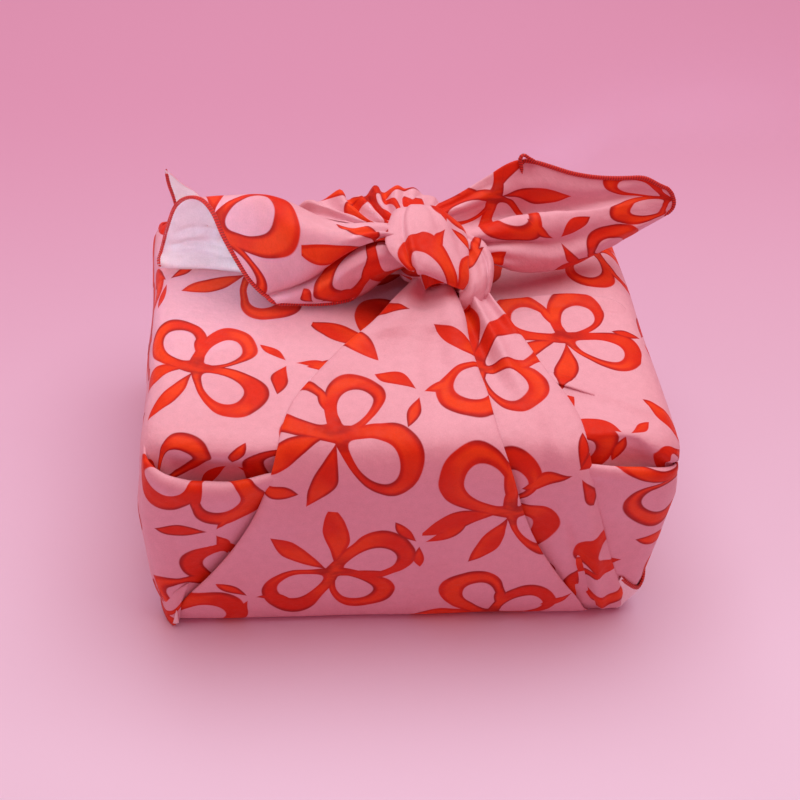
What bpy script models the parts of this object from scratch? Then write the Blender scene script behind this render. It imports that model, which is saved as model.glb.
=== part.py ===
"""Furoshiki wrap: one square cloth tied round a box-shaped bundle, with a square knot and two free ends on top.

Units are metres, +Z is up. The origin is the centre of the underside, which lies flat on the surface.
+X is the bundle's right, -Y its front. The cloth is one solid, hollow where the bundle sits:

  wall       the layer next to the bundle: bottom, four sides, and the two side corners folded over the top
  gussets    the spare cloth beside each side, turned on to the front and the back in a rolled fold
  panels     the front and the back corner, brought up over the gussets and drawn in to the knot
  knot       the loop, the rim and the gathered throats of the two panels
  ends       the two free corners past the knot, each a thin folded sheet
"""

import math
from collections import namedtuple

import bmesh
import bpy
import numpy as np
from mathutils import Vector

# ---------------------------------------------------------------- driving sizes
CLOTH = 0.0024  # thickness of a layer that stands free
LYING = 0.0050  # depth of a layer that lies on the ones below, down into the wall
END_CLOTH = 0.0018  # thickness of a free end
HEIGHT = 0.1175  # top of the two side corners, below the knot
WALL = 0.0030  # layers between the bundle and the outside
SLIT = (0.0035, 0.050)  # gap where the two side corners lap under the knot: width, length
SLIT_AT = (0.0180, 0.0040)
KNOT = (0.0180, 0.0120, 0.1450)  # centre of the knot

# ---------------------------------------------------------------- tables
# The bundle's outline, a rounded rectangle at each height.
Section = namedtuple("Section", "z half_width half_depth corner")
BUNDLE = [
    Section(0.0000, 0.1075, 0.0865, 0.0110),
    Section(0.0018, 0.1112, 0.0898, 0.0120),
    Section(0.0080, 0.1142, 0.0918, 0.0125),
    Section(0.0280, 0.1176, 0.0932, 0.0125),
    Section(0.0560, 0.1202, 0.0945, 0.0130),
    Section(0.0850, 0.1212, 0.0955, 0.0135),
    Section(0.1020, 0.1210, 0.0955, 0.0140),
    Section(0.1110, 0.1186, 0.0932, 0.0150),
    Section(0.1158, 0.1138, 0.0885, 0.0160),
    Section(0.1175, 0.1070, 0.0815, 0.0160),
]

# A panel from its lower edge up to the knot. left, fold and right are the two side folds and the pleat between them,
# where the left part of the panel laps over the right part. crown is how far it stands off its side folds, and lies is
# 1 where it rests on the layers below, 0 where it is free.
Station = namedtuple("Station", "y z left fold right crown lies")
FRONT_PANEL = [
    Station(-0.0900, 0.0030, -0.1070, 0.0960, 0.1110, 0.0006, 1.0),
    Station(-0.0926, 0.0150, -0.1040, 0.0900, 0.1095, 0.0018, 1.0),
    Station(-0.0942, 0.0350, -0.0920, 0.0745, 0.1025, 0.0026, 1.0),
    Station(-0.0954, 0.0590, -0.0797, 0.0610, 0.0945, 0.0030, 1.0),
    Station(-0.0962, 0.0820, -0.0705, 0.0515, 0.0868, 0.0032, 1.0),
    Station(-0.0958, 0.1020, -0.0648, 0.0450, 0.0812, 0.0034, 1.0),
    Station(-0.0905, 0.1140, -0.0615, 0.0395, 0.0785, 0.0034, 1.0),
    Station(-0.0790, 0.1180, -0.0585, 0.0368, 0.0765, 0.0034, 1.0),
    Station(-0.0640, 0.1185, -0.0530, 0.0355, 0.0725, 0.0040, 1.0),
    Station(-0.0480, 0.1192, -0.0425, 0.0327, 0.0655, 0.0054, 0.7),
    Station(-0.0320, 0.1210, -0.0300, 0.0302, 0.0590, 0.0074, 0.2),
    Station(-0.0175, 0.1245, -0.0145, 0.0298, 0.0520, 0.0090, 0.0),
    Station(-0.0050, 0.1290, -0.0080, 0.0275, 0.0445, 0.0086, 0.0),
    Station(0.0060, 0.1335, 0.0040, 0.0250, 0.0390, 0.0060, 0.0),
]
BACK_PANEL = [
    Station(0.0900, 0.0030, -0.1085, 0.0900, 0.1075, 0.0006, 1.0),
    Station(0.0926, 0.0150, -0.1050, 0.0750, 0.1045, 0.0018, 1.0),
    Station(0.0942, 0.0350, -0.0955, 0.0500, 0.0950, 0.0026, 1.0),
    Station(0.0954, 0.0590, -0.0850, 0.0330, 0.0840, 0.0030, 1.0),
    Station(0.0962, 0.0820, -0.0765, 0.0240, 0.0755, 0.0032, 1.0),
    Station(0.0958, 0.1020, -0.0700, 0.0200, 0.0690, 0.0034, 1.0),
    Station(0.0905, 0.1140, -0.0655, 0.0190, 0.0650, 0.0034, 1.0),
    Station(0.0800, 0.1185, -0.0605, 0.0180, 0.0615, 0.0044, 0.9),
    Station(0.0700, 0.1225, -0.0510, 0.0180, 0.0560, 0.0066, 0.3),
    Station(0.0610, 0.1300, -0.0370, 0.0170, 0.0500, 0.0090, 0.0),
    Station(0.0520, 0.1380, -0.0190, 0.0160, 0.0430, 0.0090, 0.0),
    Station(0.0400, 0.1425, -0.0050, 0.0150, 0.0370, 0.0070, 0.0),
    Station(0.0270, 0.1440, 0.0020, 0.0160, 0.0340, 0.0040, 0.0),
]
# A panel's cross section: where each point lies between the left fold and the pleat, or the pleat and the right fold,
# and its share of the crown.
LEFT_PART = [(0.0, 0.10), (0.05, 0.72), (0.25, 0.88), (0.60, 1.0), (0.90, 1.12), (0.985, 1.06)]
RIGHT_PART = [(0.04, 0.46), (0.25, 0.56), (0.55, 0.72), (0.80, 0.74), (0.95, 0.60), (1.0, 0.10)]

# A gusset's rolled upper fold, from the upright edge of the bundle inwards: its height and how far it stands off.
Fold = namedtuple("Fold", "along z roll")
GUSSET_FOLD = {
    "front_left": [Fold(0.0, 0.1135, 0.0010), Fold(0.22, 0.1040, 0.0034), Fold(0.60, 0.0998, 0.0046), Fold(1.0, 0.1035, 0.0024)],
    "front_right": [Fold(0.0, 0.1000, 0.0016), Fold(0.30, 0.1032, 0.0034), Fold(0.60, 0.1045, 0.0030), Fold(1.0, 0.1065, 0.0020)],
    "back_left": [Fold(0.0, 0.1110, 0.0012), Fold(0.30, 0.1045, 0.0034), Fold(0.60, 0.1015, 0.0040), Fold(1.0, 0.1030, 0.0022)],
    "back_right": [Fold(0.0, 0.1130, 0.0010), Fold(0.25, 0.1050, 0.0030), Fold(0.60, 0.1005, 0.0042), Fold(1.0, 0.1025, 0.0022)],
}
GUSSET_REACH = 0.076  # how far a gusset runs in from the upright edge at its fold
GUSSET_FOOT = 0.012  # and at the lower edge

# A side corner, folded over the top, hangs over the front and the back edge above the gusset: its lower lip, from the
# upright edge of the bundle inwards, how far out it stands and how far along the edge it reaches.
Lip = namedtuple("Lip", "sx sy z out reach")
LIPS = [
    Lip(1, -1, 0.1035, 0.0042, 0.058),
    Lip(-1, -1, 0.1075, 0.0016, 0.064),
    Lip(1, 1, 0.1065, 0.0022, 0.060),
    Lip(-1, 1, 0.1045, 0.0034, 0.062),
]

# Gathered cloth in the knot: the middle of the strand, its half width across and its half thickness.
Strand = namedtuple("Strand", "x y z half_width half_thick lean")
LOOP = [  # the wide loop over the top, from behind to under the front
    Strand(0.0170, 0.0400, 0.1400, 0.0130, 0.0070, 0.0),
    Strand(0.0160, 0.0360, 0.1495, 0.0165, 0.0075, 0.0),
    Strand(0.0160, 0.0240, 0.1560, 0.0190, 0.0080, 0.0),
    Strand(0.0170, 0.0090, 0.1555, 0.0205, 0.0085, 0.1),
    Strand(0.0185, -0.0010, 0.1480, 0.0205, 0.0085, 0.2),
    Strand(0.0200, -0.0040, 0.1400, 0.0185, 0.0075, 0.25),
    Strand(0.0205, -0.0045, 0.1330, 0.0150, 0.0050, 0.25),
]
RIM = [  # the narrower turn round the right-hand side
    Strand(0.0300, 0.0330, 0.1500, 0.0080, 0.0060, 0.0),
    Strand(0.0370, 0.0210, 0.1525, 0.0080, 0.0062, 0.0),
    Strand(0.0405, 0.0090, 0.1480, 0.0080, 0.0060, 0.0),
    Strand(0.0410, -0.0020, 0.1405, 0.0074, 0.0056, 0.0),
    Strand(0.0400, -0.0070, 0.1330, 0.0058, 0.0046, 0.0),
    Strand(0.0380, -0.0080, 0.1270, 0.0036, 0.0032, 0.0),
]
HEART = [  # the throats of the two panels inside the loop
    Strand(0.0230, -0.0040, 0.1330, 0.0165, 0.0045, 0.0),
    Strand(0.0220, 0.0070, 0.1410, 0.0195, 0.0095, 0.0),
    Strand(0.0190, 0.0200, 0.1450, 0.0200, 0.0105, 0.0),
    Strand(0.0150, 0.0360, 0.1430, 0.0170, 0.0080, 0.0),
    Strand(0.0150, 0.0480, 0.1400, 0.0180, 0.0050, 0.0),
]

LEFT_CORE = [  # the free ends are still packed tight where they leave the knot
    Strand(0.0040, 0.0160, 0.1450, 0.0100, 0.0090, 0.0),
    Strand(-0.0060, 0.0160, 0.1450, 0.0100, 0.0095, 0.0),
    Strand(-0.0150, 0.0160, 0.1450, 0.0090, 0.0105, 0.0),
    Strand(-0.0210, 0.0160, 0.1450, 0.0070, 0.0095, 0.0),
]
RIGHT_CORE = [
    Strand(0.0280, 0.0180, 0.1460, 0.0100, 0.0105, 0.0),
    Strand(0.0380, 0.0190, 0.1460, 0.0105, 0.0110, 0.0),
    Strand(0.0460, 0.0230, 0.1470, 0.0110, 0.0125, 0.0),
    Strand(0.0520, 0.0260, 0.1480, 0.0090, 0.0110, 0.0),
]

# A free end fans out from a throat in the knot. Each row is one line of the cloth, from the throat (at an angle
# round it, 0 to the front and 90 up) through near and middle points to the hem.
Throat = namedtuple("Throat", "x y z depth height")
Line = namedtuple("Line", "name angle near middle far hem")
LEFT_THROAT = Throat(-0.0020, 0.0150, 0.1450, 0.0100, 0.0090)
LEFT_END = [
    Line("front_low", -60, (-0.0150, 0.0050, 0.1300), (-0.0290, 0.0025, 0.1225), (-0.0420, 0.0020, 0.1205), (-0.0540, 0.0020, 0.1210)),
    Line("lower_roll", -25, (-0.0160, 0.0010, 0.1380), (-0.0300, -0.0020, 0.1330), (-0.0440, -0.0015, 0.1270), (-0.0580, 0.0005, 0.1235)),
    Line("valley", 10, (-0.0140, 0.0080, 0.1480), (-0.0260, 0.0075, 0.1430), (-0.0440, 0.0050, 0.1340), (-0.0628, 0.0035, 0.1245)),
    Line("roll_low", 25, (-0.0150, 0.0050, 0.1530), (-0.0290, 0.0020, 0.1500), (-0.0480, 0.0008, 0.1440), (-0.0675, 0.0060, 0.1275)),
    Line("roll_high", 50, (-0.0150, 0.0080, 0.1590), (-0.0300, 0.0050, 0.1600), (-0.0520, 0.0045, 0.1570), (-0.0773, 0.0120, 0.1370)),
    Line("shoulder", 75, (-0.0150, 0.0140, 0.1615), (-0.0310, 0.0120, 0.1640), (-0.0560, 0.0125, 0.1670), (-0.0880, 0.0190, 0.1535)),
    Line("crown", 95, (-0.0150, 0.0200, 0.1600), (-0.0320, 0.0200, 0.1610), (-0.0600, 0.0220, 0.1700), (-0.0950, 0.0265, 0.1650)),
    Line("top", 115, (-0.0150, 0.0250, 0.1550), (-0.0330, 0.0270, 0.1570), (-0.0630, 0.0300, 0.1660), (-0.1015, 0.0325, 0.1640)),
    Line("back_high", 145, (-0.0150, 0.0270, 0.1480), (-0.0330, 0.0310, 0.1490), (-0.0660, 0.0360, 0.1560), (-0.1085, 0.0372, 0.1560)),
    Line("back_low", 175, (-0.0150, 0.0270, 0.1390), (-0.0340, 0.0320, 0.1370), (-0.0700, 0.0380, 0.1380), (-0.1140, 0.0400, 0.1380)),
    Line("heel", 205, (-0.0150, 0.0240, 0.1320), (-0.0350, 0.0300, 0.1250), (-0.0720, 0.0370, 0.1225), (-0.1168, 0.0385, 0.1215)),
    Line("floor", 235, (-0.0150, 0.0180, 0.1290), (-0.0360, 0.0220, 0.1220), (-0.0740, 0.0280, 0.1205), (-0.1155, 0.0330, 0.1208)),
]
# the corner of the cloth stands up behind the mouth of the left end: rows from its root to its point
CORNER_POINT = [
    [(-0.1150, 0.0412, 0.1420), (-0.1080, 0.0404, 0.1430), (-0.0950, 0.0385, 0.1450)],
    [(-0.1122, 0.0436, 0.1500), (-0.1040, 0.0424, 0.1560), (-0.0930, 0.0398, 0.1600)],
    [(-0.1115, 0.0452, 0.1590), (-0.1075, 0.0443, 0.1610), (-0.1025, 0.0428, 0.1630)],
    [(-0.1128, 0.0465, 0.1715), (-0.1118, 0.0460, 0.1705), (-0.1108, 0.0455, 0.1695)],
]
RIGHT_THROAT = Throat(0.0340, 0.0180, 0.1460, 0.0105, 0.0110)
RIGHT_END = [
    Line("hem_top", 110, (0.0590, 0.0455, 0.1780), (0.0860, 0.0490, 0.1700), (0.1175, 0.0500, 0.1646), (0.1395, 0.0495, 0.1575)),
    Line("upper", 95, (0.0590, 0.0400, 0.1700), (0.0860, 0.0450, 0.1640), (0.1170, 0.0485, 0.1590), (0.1420, 0.0488, 0.1545)),
    Line("valley", 75, (0.0600, 0.0330, 0.1545), (0.0840, 0.0400, 0.1548), (0.1160, 0.0460, 0.1550), (0.1426, 0.0482, 0.1525)),
    Line("roll_top", 55, (0.0590, 0.0220, 0.1590), (0.0830, 0.0280, 0.1600), (0.1150, 0.0420, 0.1540), (0.1422, 0.0474, 0.1508)),
    Line("roll_front", 25, (0.0600, 0.0150, 0.1510), (0.0840, 0.0205, 0.1510), (0.1130, 0.0365, 0.1465), (0.1408, 0.0464, 0.1490)),
    Line("front_low", -15, (0.0620, 0.0140, 0.1390), (0.0850, 0.0200, 0.1370), (0.1110, 0.0335, 0.1375), (0.1385, 0.0452, 0.1473)),
    Line("keel", -70, (0.0640, 0.0200, 0.1290), (0.0850, 0.0260, 0.1275), (0.1105, 0.0360, 0.1318), (0.1350, 0.0452, 0.1442)),
    Line("back_low", 230, (0.0620, 0.0300, 0.1300), (0.0820, 0.0365, 0.1290), (0.0990, 0.0450, 0.1325), (0.1150, 0.0530, 0.1420)),
    Line("back_high", 180, (0.0590, 0.0420, 0.1470), (0.0820, 0.0475, 0.1460), (0.0970, 0.0525, 0.1465), (0.1090, 0.0560, 0.1500)),
]


# ---------------------------------------------------------------- curves and surfaces
def through(points, count):
    """count + 1 points of the smooth curve through the given ones, with no loop where they crowd together."""
    p = np.asarray(points, float)
    p = np.vstack([2 * p[0] - p[1], p, 2 * p[-1] - p[-2]])
    gap = np.maximum(np.linalg.norm(np.diff(p, axis=0), axis=1), 1e-9) ** 0.5
    at = np.linspace(0, len(p) - 3, count + 1)
    i = np.minimum(at.astype(int), len(p) - 4)
    f = (at - i)[:, None]
    a, b, c, d = p[i], p[i + 1], p[i + 2], p[i + 3]
    before, here, after = gap[i][:, None], gap[i + 1][:, None], gap[i + 2][:, None]
    leave = here * ((b - a) / before - (c - a) / (before + here)) + (c - b)
    arrive = here * ((d - c) / after - (d - b) / (here + after)) + (c - b)
    return (2 * f**3 - 3 * f**2 + 1) * b + (f**3 - 2 * f**2 + f) * leave + (3 * f**2 - 2 * f**3) * c + (f**3 - f**2) * arrive


def net(rows, along, across):
    """A grid of points on the smooth surface through rows of points."""
    rows = np.asarray(rows, float)
    wide = np.stack([through(row, across) for row in rows])
    return np.stack([through(wide[:, i], along) for i in range(across + 1)], axis=1)


def half_depth_at(z):
    return float(np.interp(z, [s.z for s in BUNDLE], [s.half_depth for s in BUNDLE]))


def half_width_at(z):
    return float(np.interp(z, [s.z for s in BUNDLE], [s.half_width for s in BUNDLE]))


# ---------------------------------------------------------------- objects
def clear_scene():
    for obj in list(bpy.data.objects):
        bpy.data.objects.remove(obj)


def collection(name):
    made = bpy.data.collections.new(name)
    bpy.context.scene.collection.children.link(made)
    return made


def fabric(name, colour, roughness):
    material = bpy.data.materials.new(name)
    material.use_nodes = True
    shader = material.node_tree.nodes["Principled BSDF"]
    shader.inputs["Base Color"].default_value = (*colour, 1)
    shader.inputs["Roughness"].default_value = roughness
    shader.inputs["Metallic"].default_value = 0.0
    return material


def mesh_object(name, bm, where):
    mesh = bpy.data.meshes.new(name)
    bm.normal_update()
    bm.to_mesh(mesh)
    bm.free()
    obj = bpy.data.objects.new(name, mesh)
    where.objects.link(obj)
    return obj


def sheet(name, points, thickness, where, outward):
    """A cloth sheet of even thickness on a grid of points. outward is a point on the side that its face looks to."""
    along, across = points.shape[0] - 1, points.shape[1] - 1
    bm = bmesh.new()
    bmesh.ops.create_grid(bm, x_segments=across, y_segments=along, size=0.5)
    order = sorted(bm.verts, key=lambda v: (round(v.co.y, 5), round(v.co.x, 5)))
    for vert, at in zip(order, points.reshape(-1, 3)):
        vert.co = at
    bm.normal_update()
    middle = Vector(points[along // 2, across // 2])
    face = min(bm.faces, key=lambda f: (f.calc_center_median() - middle).length)
    if face.normal.dot(Vector(outward) - middle) < 0:
        bmesh.ops.reverse_faces(bm, faces=bm.faces)
    obj = mesh_object(name, bm, where)
    solid = obj.modifiers.new("thickness", "SOLIDIFY")
    solid.thickness = thickness
    solid.offset = 0.0
    solid.use_even_offset = False
    return obj


def loft(name, rings, where):
    """A closed solid through rings of the same number of points, each with a flat or gathered end."""
    bm = bmesh.new()
    made = [[bm.verts.new([float(c) for c in p]) for p in ring] for ring in rings]
    for low, high in zip(made, made[1:]):
        for i in range(len(low)):
            j = (i + 1) % len(low)
            bm.faces.new((low[i], low[j], high[j], high[i]))
    bm.faces.new(made[0][::-1])
    bm.faces.new(made[-1])
    bmesh.ops.recalc_face_normals(bm, faces=bm.faces)
    return mesh_object(name, bm, where)


def rounded_rectangle(half_width, half_depth, corner, z, side_points=5, corner_points=5):
    ring = []
    for quarter in range(4):
        sx, sy = ((1, -1), (1, 1), (-1, 1), (-1, -1))[quarter]
        cx, cy = sx * (half_width - corner), sy * (half_depth - corner)
        start = quarter * 90 - 90
        for k in range(corner_points):
            angle = math.radians(start + 90 * k / (corner_points - 1))
            ring.append((cx + corner * math.cos(angle), cy + corner * math.sin(angle), z))
        nx, ny = ((1, 1), (-1, 1), (-1, -1), (1, -1))[quarter]
        ex, ey = nx * (half_width - corner), ny * (half_depth - corner)
        last = ring[-1]
        along_x = quarter in (1, 3)
        goal = (ex, last[1], z) if along_x else (last[0], ey, z)
        for k in range(1, side_points):
            t = k / side_points
            ring.append((last[0] + (goal[0] - last[0]) * t, last[1] + (goal[1] - last[1]) * t, z))
    return ring


def gathered(name, strands, where, along=12, around=14, pleat=0.0, pleats=5):
    """A strand of gathered cloth: an oval swept along its table, with shallow pleats along its length."""
    table = through([tuple(s) for s in strands], along)
    rings = []
    for k, row in enumerate(table):
        ahead = table[min(k + 1, along)][:3] - table[max(k - 1, 0)][:3]
        ahead /= np.linalg.norm(ahead)
        across = np.array([math.cos(row[5]), 0.0, -math.sin(row[5])]) if abs(ahead[0]) < 0.7 else np.array([0.0, 1.0, 0.0])
        across -= ahead * across.dot(ahead)
        across /= np.linalg.norm(across)
        out = np.cross(across, ahead)
        ring = []
        for i in range(around):
            a = 2 * math.pi * i / around
            swell = 1 + pleat * math.cos(pleats * a)
            ring.append(row[:3] + across * row[3] * math.cos(a) * swell + out * row[4] * math.sin(a) * swell)
        rings.append(ring)
    return loft(name, rings, where)


def union(target, layers):
    """Everything in a collection joined to the target at once."""
    joined = target.modifiers.new("join layers", "BOOLEAN")
    joined.operation = "UNION"
    joined.operand_type = "COLLECTION"
    joined.collection = layers
    joined.solver = "EXACT"
    for layer in layers.objects:
        helper(layer)


def cut(target, cutter):
    away = target.modifiers.new("cut " + cutter.name, "BOOLEAN")
    away.operation = "DIFFERENCE"
    away.object = cutter
    away.solver = "EXACT"
    helper(cutter)


def helper(obj):
    obj.hide_render = True
    obj.display_type = "WIRE"


# ---------------------------------------------------------------- the cloth
def slab(name, outer, inner, where):
    """A closed solid between two grids of the same size, one over the other."""
    bm = bmesh.new()
    top = [[bm.verts.new([float(c) for c in p]) for p in row] for row in outer]
    low = [[bm.verts.new([float(c) for c in p]) for p in row] for row in inner]
    rows, columns = len(top), len(top[0])
    for i in range(rows - 1):
        for j in range(columns - 1):
            bm.faces.new((top[i][j], top[i][j + 1], top[i + 1][j + 1], top[i + 1][j]))
            bm.faces.new((low[i][j], low[i + 1][j], low[i + 1][j + 1], low[i][j + 1]))
    for i in range(rows - 1):
        bm.faces.new((top[i][0], top[i + 1][0], low[i + 1][0], low[i][0]))
        bm.faces.new((top[i][-1], low[i][-1], low[i + 1][-1], top[i + 1][-1]))
    for j in range(columns - 1):
        bm.faces.new((top[0][j], low[0][j], low[0][j + 1], top[0][j + 1]))
        bm.faces.new((top[-1][j], top[-1][j + 1], low[-1][j + 1], low[-1][j]))
    bmesh.ops.recalc_face_normals(bm, faces=bm.faces)
    return mesh_object(name, bm, where)


def panel(name, stations, side, where, along):
    lie = 1 if side == "front" else -1
    outer, inner = [], []
    for k, s in enumerate(stations):
        ahead = np.array(stations[min(k + 1, len(stations) - 1)][:2]) - np.array(stations[max(k - 1, 0)][:2])
        ahead /= np.linalg.norm(ahead)
        out = np.array([-ahead[1], ahead[0]]) * lie  # away from the bundle
        across = [(s.left + (s.fold - s.left) * t, c) for t, c in LEFT_PART]
        across += [(s.fold + (s.right - s.fold) * t, c) for t, c in RIGHT_PART]
        face = [(x, s.y + out[0] * s.crown * c, s.z + out[1] * s.crown * c) for x, c in across]
        back = []
        for (x, y, z), (_, c) in zip(face, across):
            sunk = CLOTH * (1 - s.lies) + (s.crown * c + LYING - 0.0016) * s.lies
            back.append((x, y - out[0] * sunk, z - out[1] * sunk))
        outer.append(face)
        inner.append(back)
    grids = []
    for rows in (outer, inner):
        grids.append(np.stack([through(line, along) for line in np.transpose(rows, (1, 0, 2))], axis=1))
    return slab(name, *grids, where)


def gusset(name, folds, where):
    """Turned on to the front or the back from the side: a slanting-sided flap with a rolled upper fold."""
    face, hand = name.split("_")
    sy, sx = (-1 if face == "front" else 1), (-1 if hand == "left" else 1)
    rings = []
    for along, top, roll in through([tuple(f) for f in folds], 9):
        ring = []
        for t in (0.0, 0.2, 0.45, 0.62, 0.78, 0.90, 1.0):
            z = 0.006 + (top - 0.006) * t
            reach = (GUSSET_FOOT + (GUSSET_REACH - GUSSET_FOOT) * t) * along
            stand = roll * (0.10 + 0.90 * max(0.0, (t - 0.40) / 0.60) ** 1.5) - 0.0021 * max(0.0, 1 - along / 0.12)
            ring.append((half_width_at(z) - 0.0065 - reach, half_depth_at(z) + 0.0002 + stand, z))
        reach = half_width_at(top) - 0.0065 - GUSSET_REACH * along
        ring.append((reach, half_depth_at(top) + roll * 0.60, top + 0.0016))
        ring.append((reach, half_depth_at(top) + roll * 0.20 - 0.0006, top + 0.0016))
        ring.append((reach, half_depth_at(top) - 0.0028, top + 0.0004))
        ring.append((half_width_at(0.006) - 0.0065 - GUSSET_FOOT * along, half_depth_at(0.006) - 0.0026, 0.006))
        rings.append([(sx * x, sy * y, z) for x, y, z in ring])
    return loft(name + "_gusset", rings, where)


def lip(spec, where):
    """The hanging edge of a side corner, above a gusset."""
    profile = (  # drop below the top, distance in from the edge, share of the stand-off
        (0.0016, 0.0100, 0.10),
        (0.0026, 0.0060, 0.40),
        (0.0046, 0.0028, 0.75),
        (0.0080, 0.0010, 0.95),
        (0.0115, 0.0004, 1.00),
        (0.0132, 0.0008, 0.80),
        (0.0138, 0.0028, 0.10),
        (0.0110, 0.0042, 0.00),
        (0.0060, 0.0070, 0.00),
        (0.0045, 0.0100, 0.00),
    )
    rings = []
    for t, swell in ((0.0, -0.7), (0.05, 0.4), (0.14, 0.9), (0.30, 1.0), (0.50, 0.85), (0.70, 0.55), (0.88, 0.1), (1.0, -0.5)):
        ring = []
        for drop, back, share in profile:
            z = 0.1176 - drop * (0.1176 - spec.z) / 0.0135
            x = half_width_at(min(z, 0.1110)) - 0.0030 - spec.reach * t
            ring.append((spec.sx * x, spec.sy * (half_depth_at(0.1060) - back + spec.out * share * swell), z))
        rings.append(ring)
    return loft(f"lip_{spec.sx}_{spec.sy}", rings, where)


def fan(name, throat, lines, where, along, across, outward):
    """A free end: its lines start round the throat and spread to the hem."""
    rows = []
    for line in lines:
        a = math.radians(line.angle)
        start = (throat.x, throat.y - throat.depth * math.cos(a), throat.z + throat.height * math.sin(a))
        rows.append([start, *[p for p in line[2:] if p is not None]])
    return sheet(name, net(rows, across, along), END_CLOTH, where, outward)


def build():
    clear_scene()
    wrap = collection("furoshiki_wrap")
    helpers = collection("layers")
    cutters = collection("cutters")

    cloth = loft("furoshiki_cloth", [rounded_rectangle(s.half_width, s.half_depth, s.corner, s.z) for s in BUNDLE], wrap)
    panel("front_panel", FRONT_PANEL, "front", helpers, 26)
    panel("back_panel", BACK_PANEL, "back", helpers, 22)
    for name, folds in GUSSET_FOLD.items():
        gusset(name, folds, helpers)
    for spec in LIPS:
        lip(spec, helpers)
    gathered("heart", HEART, helpers, along=10, around=14)
    gathered("loop", LOOP, helpers, along=12, around=18, pleat=0.04, pleats=6)
    gathered("rim", RIM, helpers, along=10, around=10)
    gathered("left_core", LEFT_CORE, helpers, along=6, around=12)
    gathered("right_core", RIGHT_CORE, helpers, along=6, around=12)
    fan("left_end", LEFT_THROAT, LEFT_END, helpers, 16, 22, (-0.06, -1.0, 0.14))
    fan("right_end", RIGHT_THROAT, RIGHT_END, helpers, 18, 16, (0.09, -1.0, 0.14))
    sheet("corner_point", net(CORNER_POINT, 6, 4), END_CLOTH, helpers, (-0.1, -1.0, 0.14))
    union(cloth, helpers)

    hollow = [
        rounded_rectangle(s.half_width - WALL, s.half_depth - WALL, max(s.corner - WALL, 0.004), z, 2, 4)
        for s, z in ((BUNDLE[2], 0.0030), (BUNDLE[4], 0.0560), (BUNDLE[6], 0.1020), (BUNDLE[8], HEIGHT - WALL))
    ]
    cut(cloth, loft("bundle_space", hollow, cutters))
    bpy.ops.mesh.primitive_cube_add(size=1, location=(*SLIT_AT, HEIGHT - 0.0015))
    lap = bpy.context.active_object
    lap.name = "lap_gap"
    lap.scale = (SLIT[0], SLIT[1], 0.0070)
    for old in lap.users_collection:
        old.objects.unlink(lap)
    cutters.objects.link(lap)
    cut(cloth, lap)

    cloth.data.materials.append(fabric("printed_cotton", (0.86, 0.42, 0.50), 0.75))


build()
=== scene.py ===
"""Furoshiki wrap: the printed cloth itself, sheet by sheet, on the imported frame.

Lengths are metres in the CAD's frame. Each sheet is a grid of points on a smooth surface through a short table, and
its UV map is its unfolded length in metres, so the print keeps one size on all of them.
"""

import math
from collections import namedtuple

import bmesh
import bpy
import numpy as np
from mathutils import Matrix, Vector


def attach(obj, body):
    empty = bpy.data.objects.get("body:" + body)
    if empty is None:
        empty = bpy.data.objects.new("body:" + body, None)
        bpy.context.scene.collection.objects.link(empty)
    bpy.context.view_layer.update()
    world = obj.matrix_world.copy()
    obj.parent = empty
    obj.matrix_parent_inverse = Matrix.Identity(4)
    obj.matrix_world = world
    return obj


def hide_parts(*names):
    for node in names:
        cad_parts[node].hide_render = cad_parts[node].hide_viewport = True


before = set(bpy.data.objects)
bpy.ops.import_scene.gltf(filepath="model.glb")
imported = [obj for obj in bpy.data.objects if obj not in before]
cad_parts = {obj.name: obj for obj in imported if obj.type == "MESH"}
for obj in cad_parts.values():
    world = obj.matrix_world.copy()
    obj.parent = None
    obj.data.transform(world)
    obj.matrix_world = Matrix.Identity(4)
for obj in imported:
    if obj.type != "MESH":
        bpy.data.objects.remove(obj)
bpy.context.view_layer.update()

# ================================================================ camera
# the photograph's angle: 41 degrees down on the front, the bundle turned 7 degrees, the frame tilted 4 degrees
EYE_DISTANCE, EYE_TILT, BUNDLE_TURN, FRAME_ROLL = 0.77246, 0.72317, 0.12890, 0.07637
FRAME_SHIFT = (-7.38, 3.08)  # of an 800 wide picture, along the bundle's own right and down
AIM = Vector((0.0, 0.0, 0.06))


def make_camera():
    turned = Matrix.Rotation(-BUNDLE_TURN, 3, "Z")
    right = turned @ Vector((1, 0, 0))
    up = turned @ Vector((0, math.sin(EYE_TILT), math.cos(EYE_TILT)))
    back = turned @ Vector((0, -math.cos(EYE_TILT), math.sin(EYE_TILT)))
    c, s = math.cos(FRAME_ROLL), math.sin(FRAME_ROLL)
    rolled = Matrix((right * c + up * s, up * c - right * s, back)).transposed()
    data = bpy.data.cameras.new("camera")
    data.sensor_width = 36.0
    data.lens = 67.5
    data.clip_start = 0.01
    sx, sy = FRAME_SHIFT
    data.shift_x = -(sx * c - sy * s) / 800
    data.shift_y = (sx * s + sy * c) / 800
    data.dof.use_dof = False
    obj = bpy.data.objects.new("camera", data)
    obj.matrix_world = Matrix.Translation(AIM + back * EYE_DISTANCE) @ rolled.to_4x4()
    bpy.context.scene.collection.objects.link(obj)
    bpy.context.scene.camera = obj


make_camera()


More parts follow.
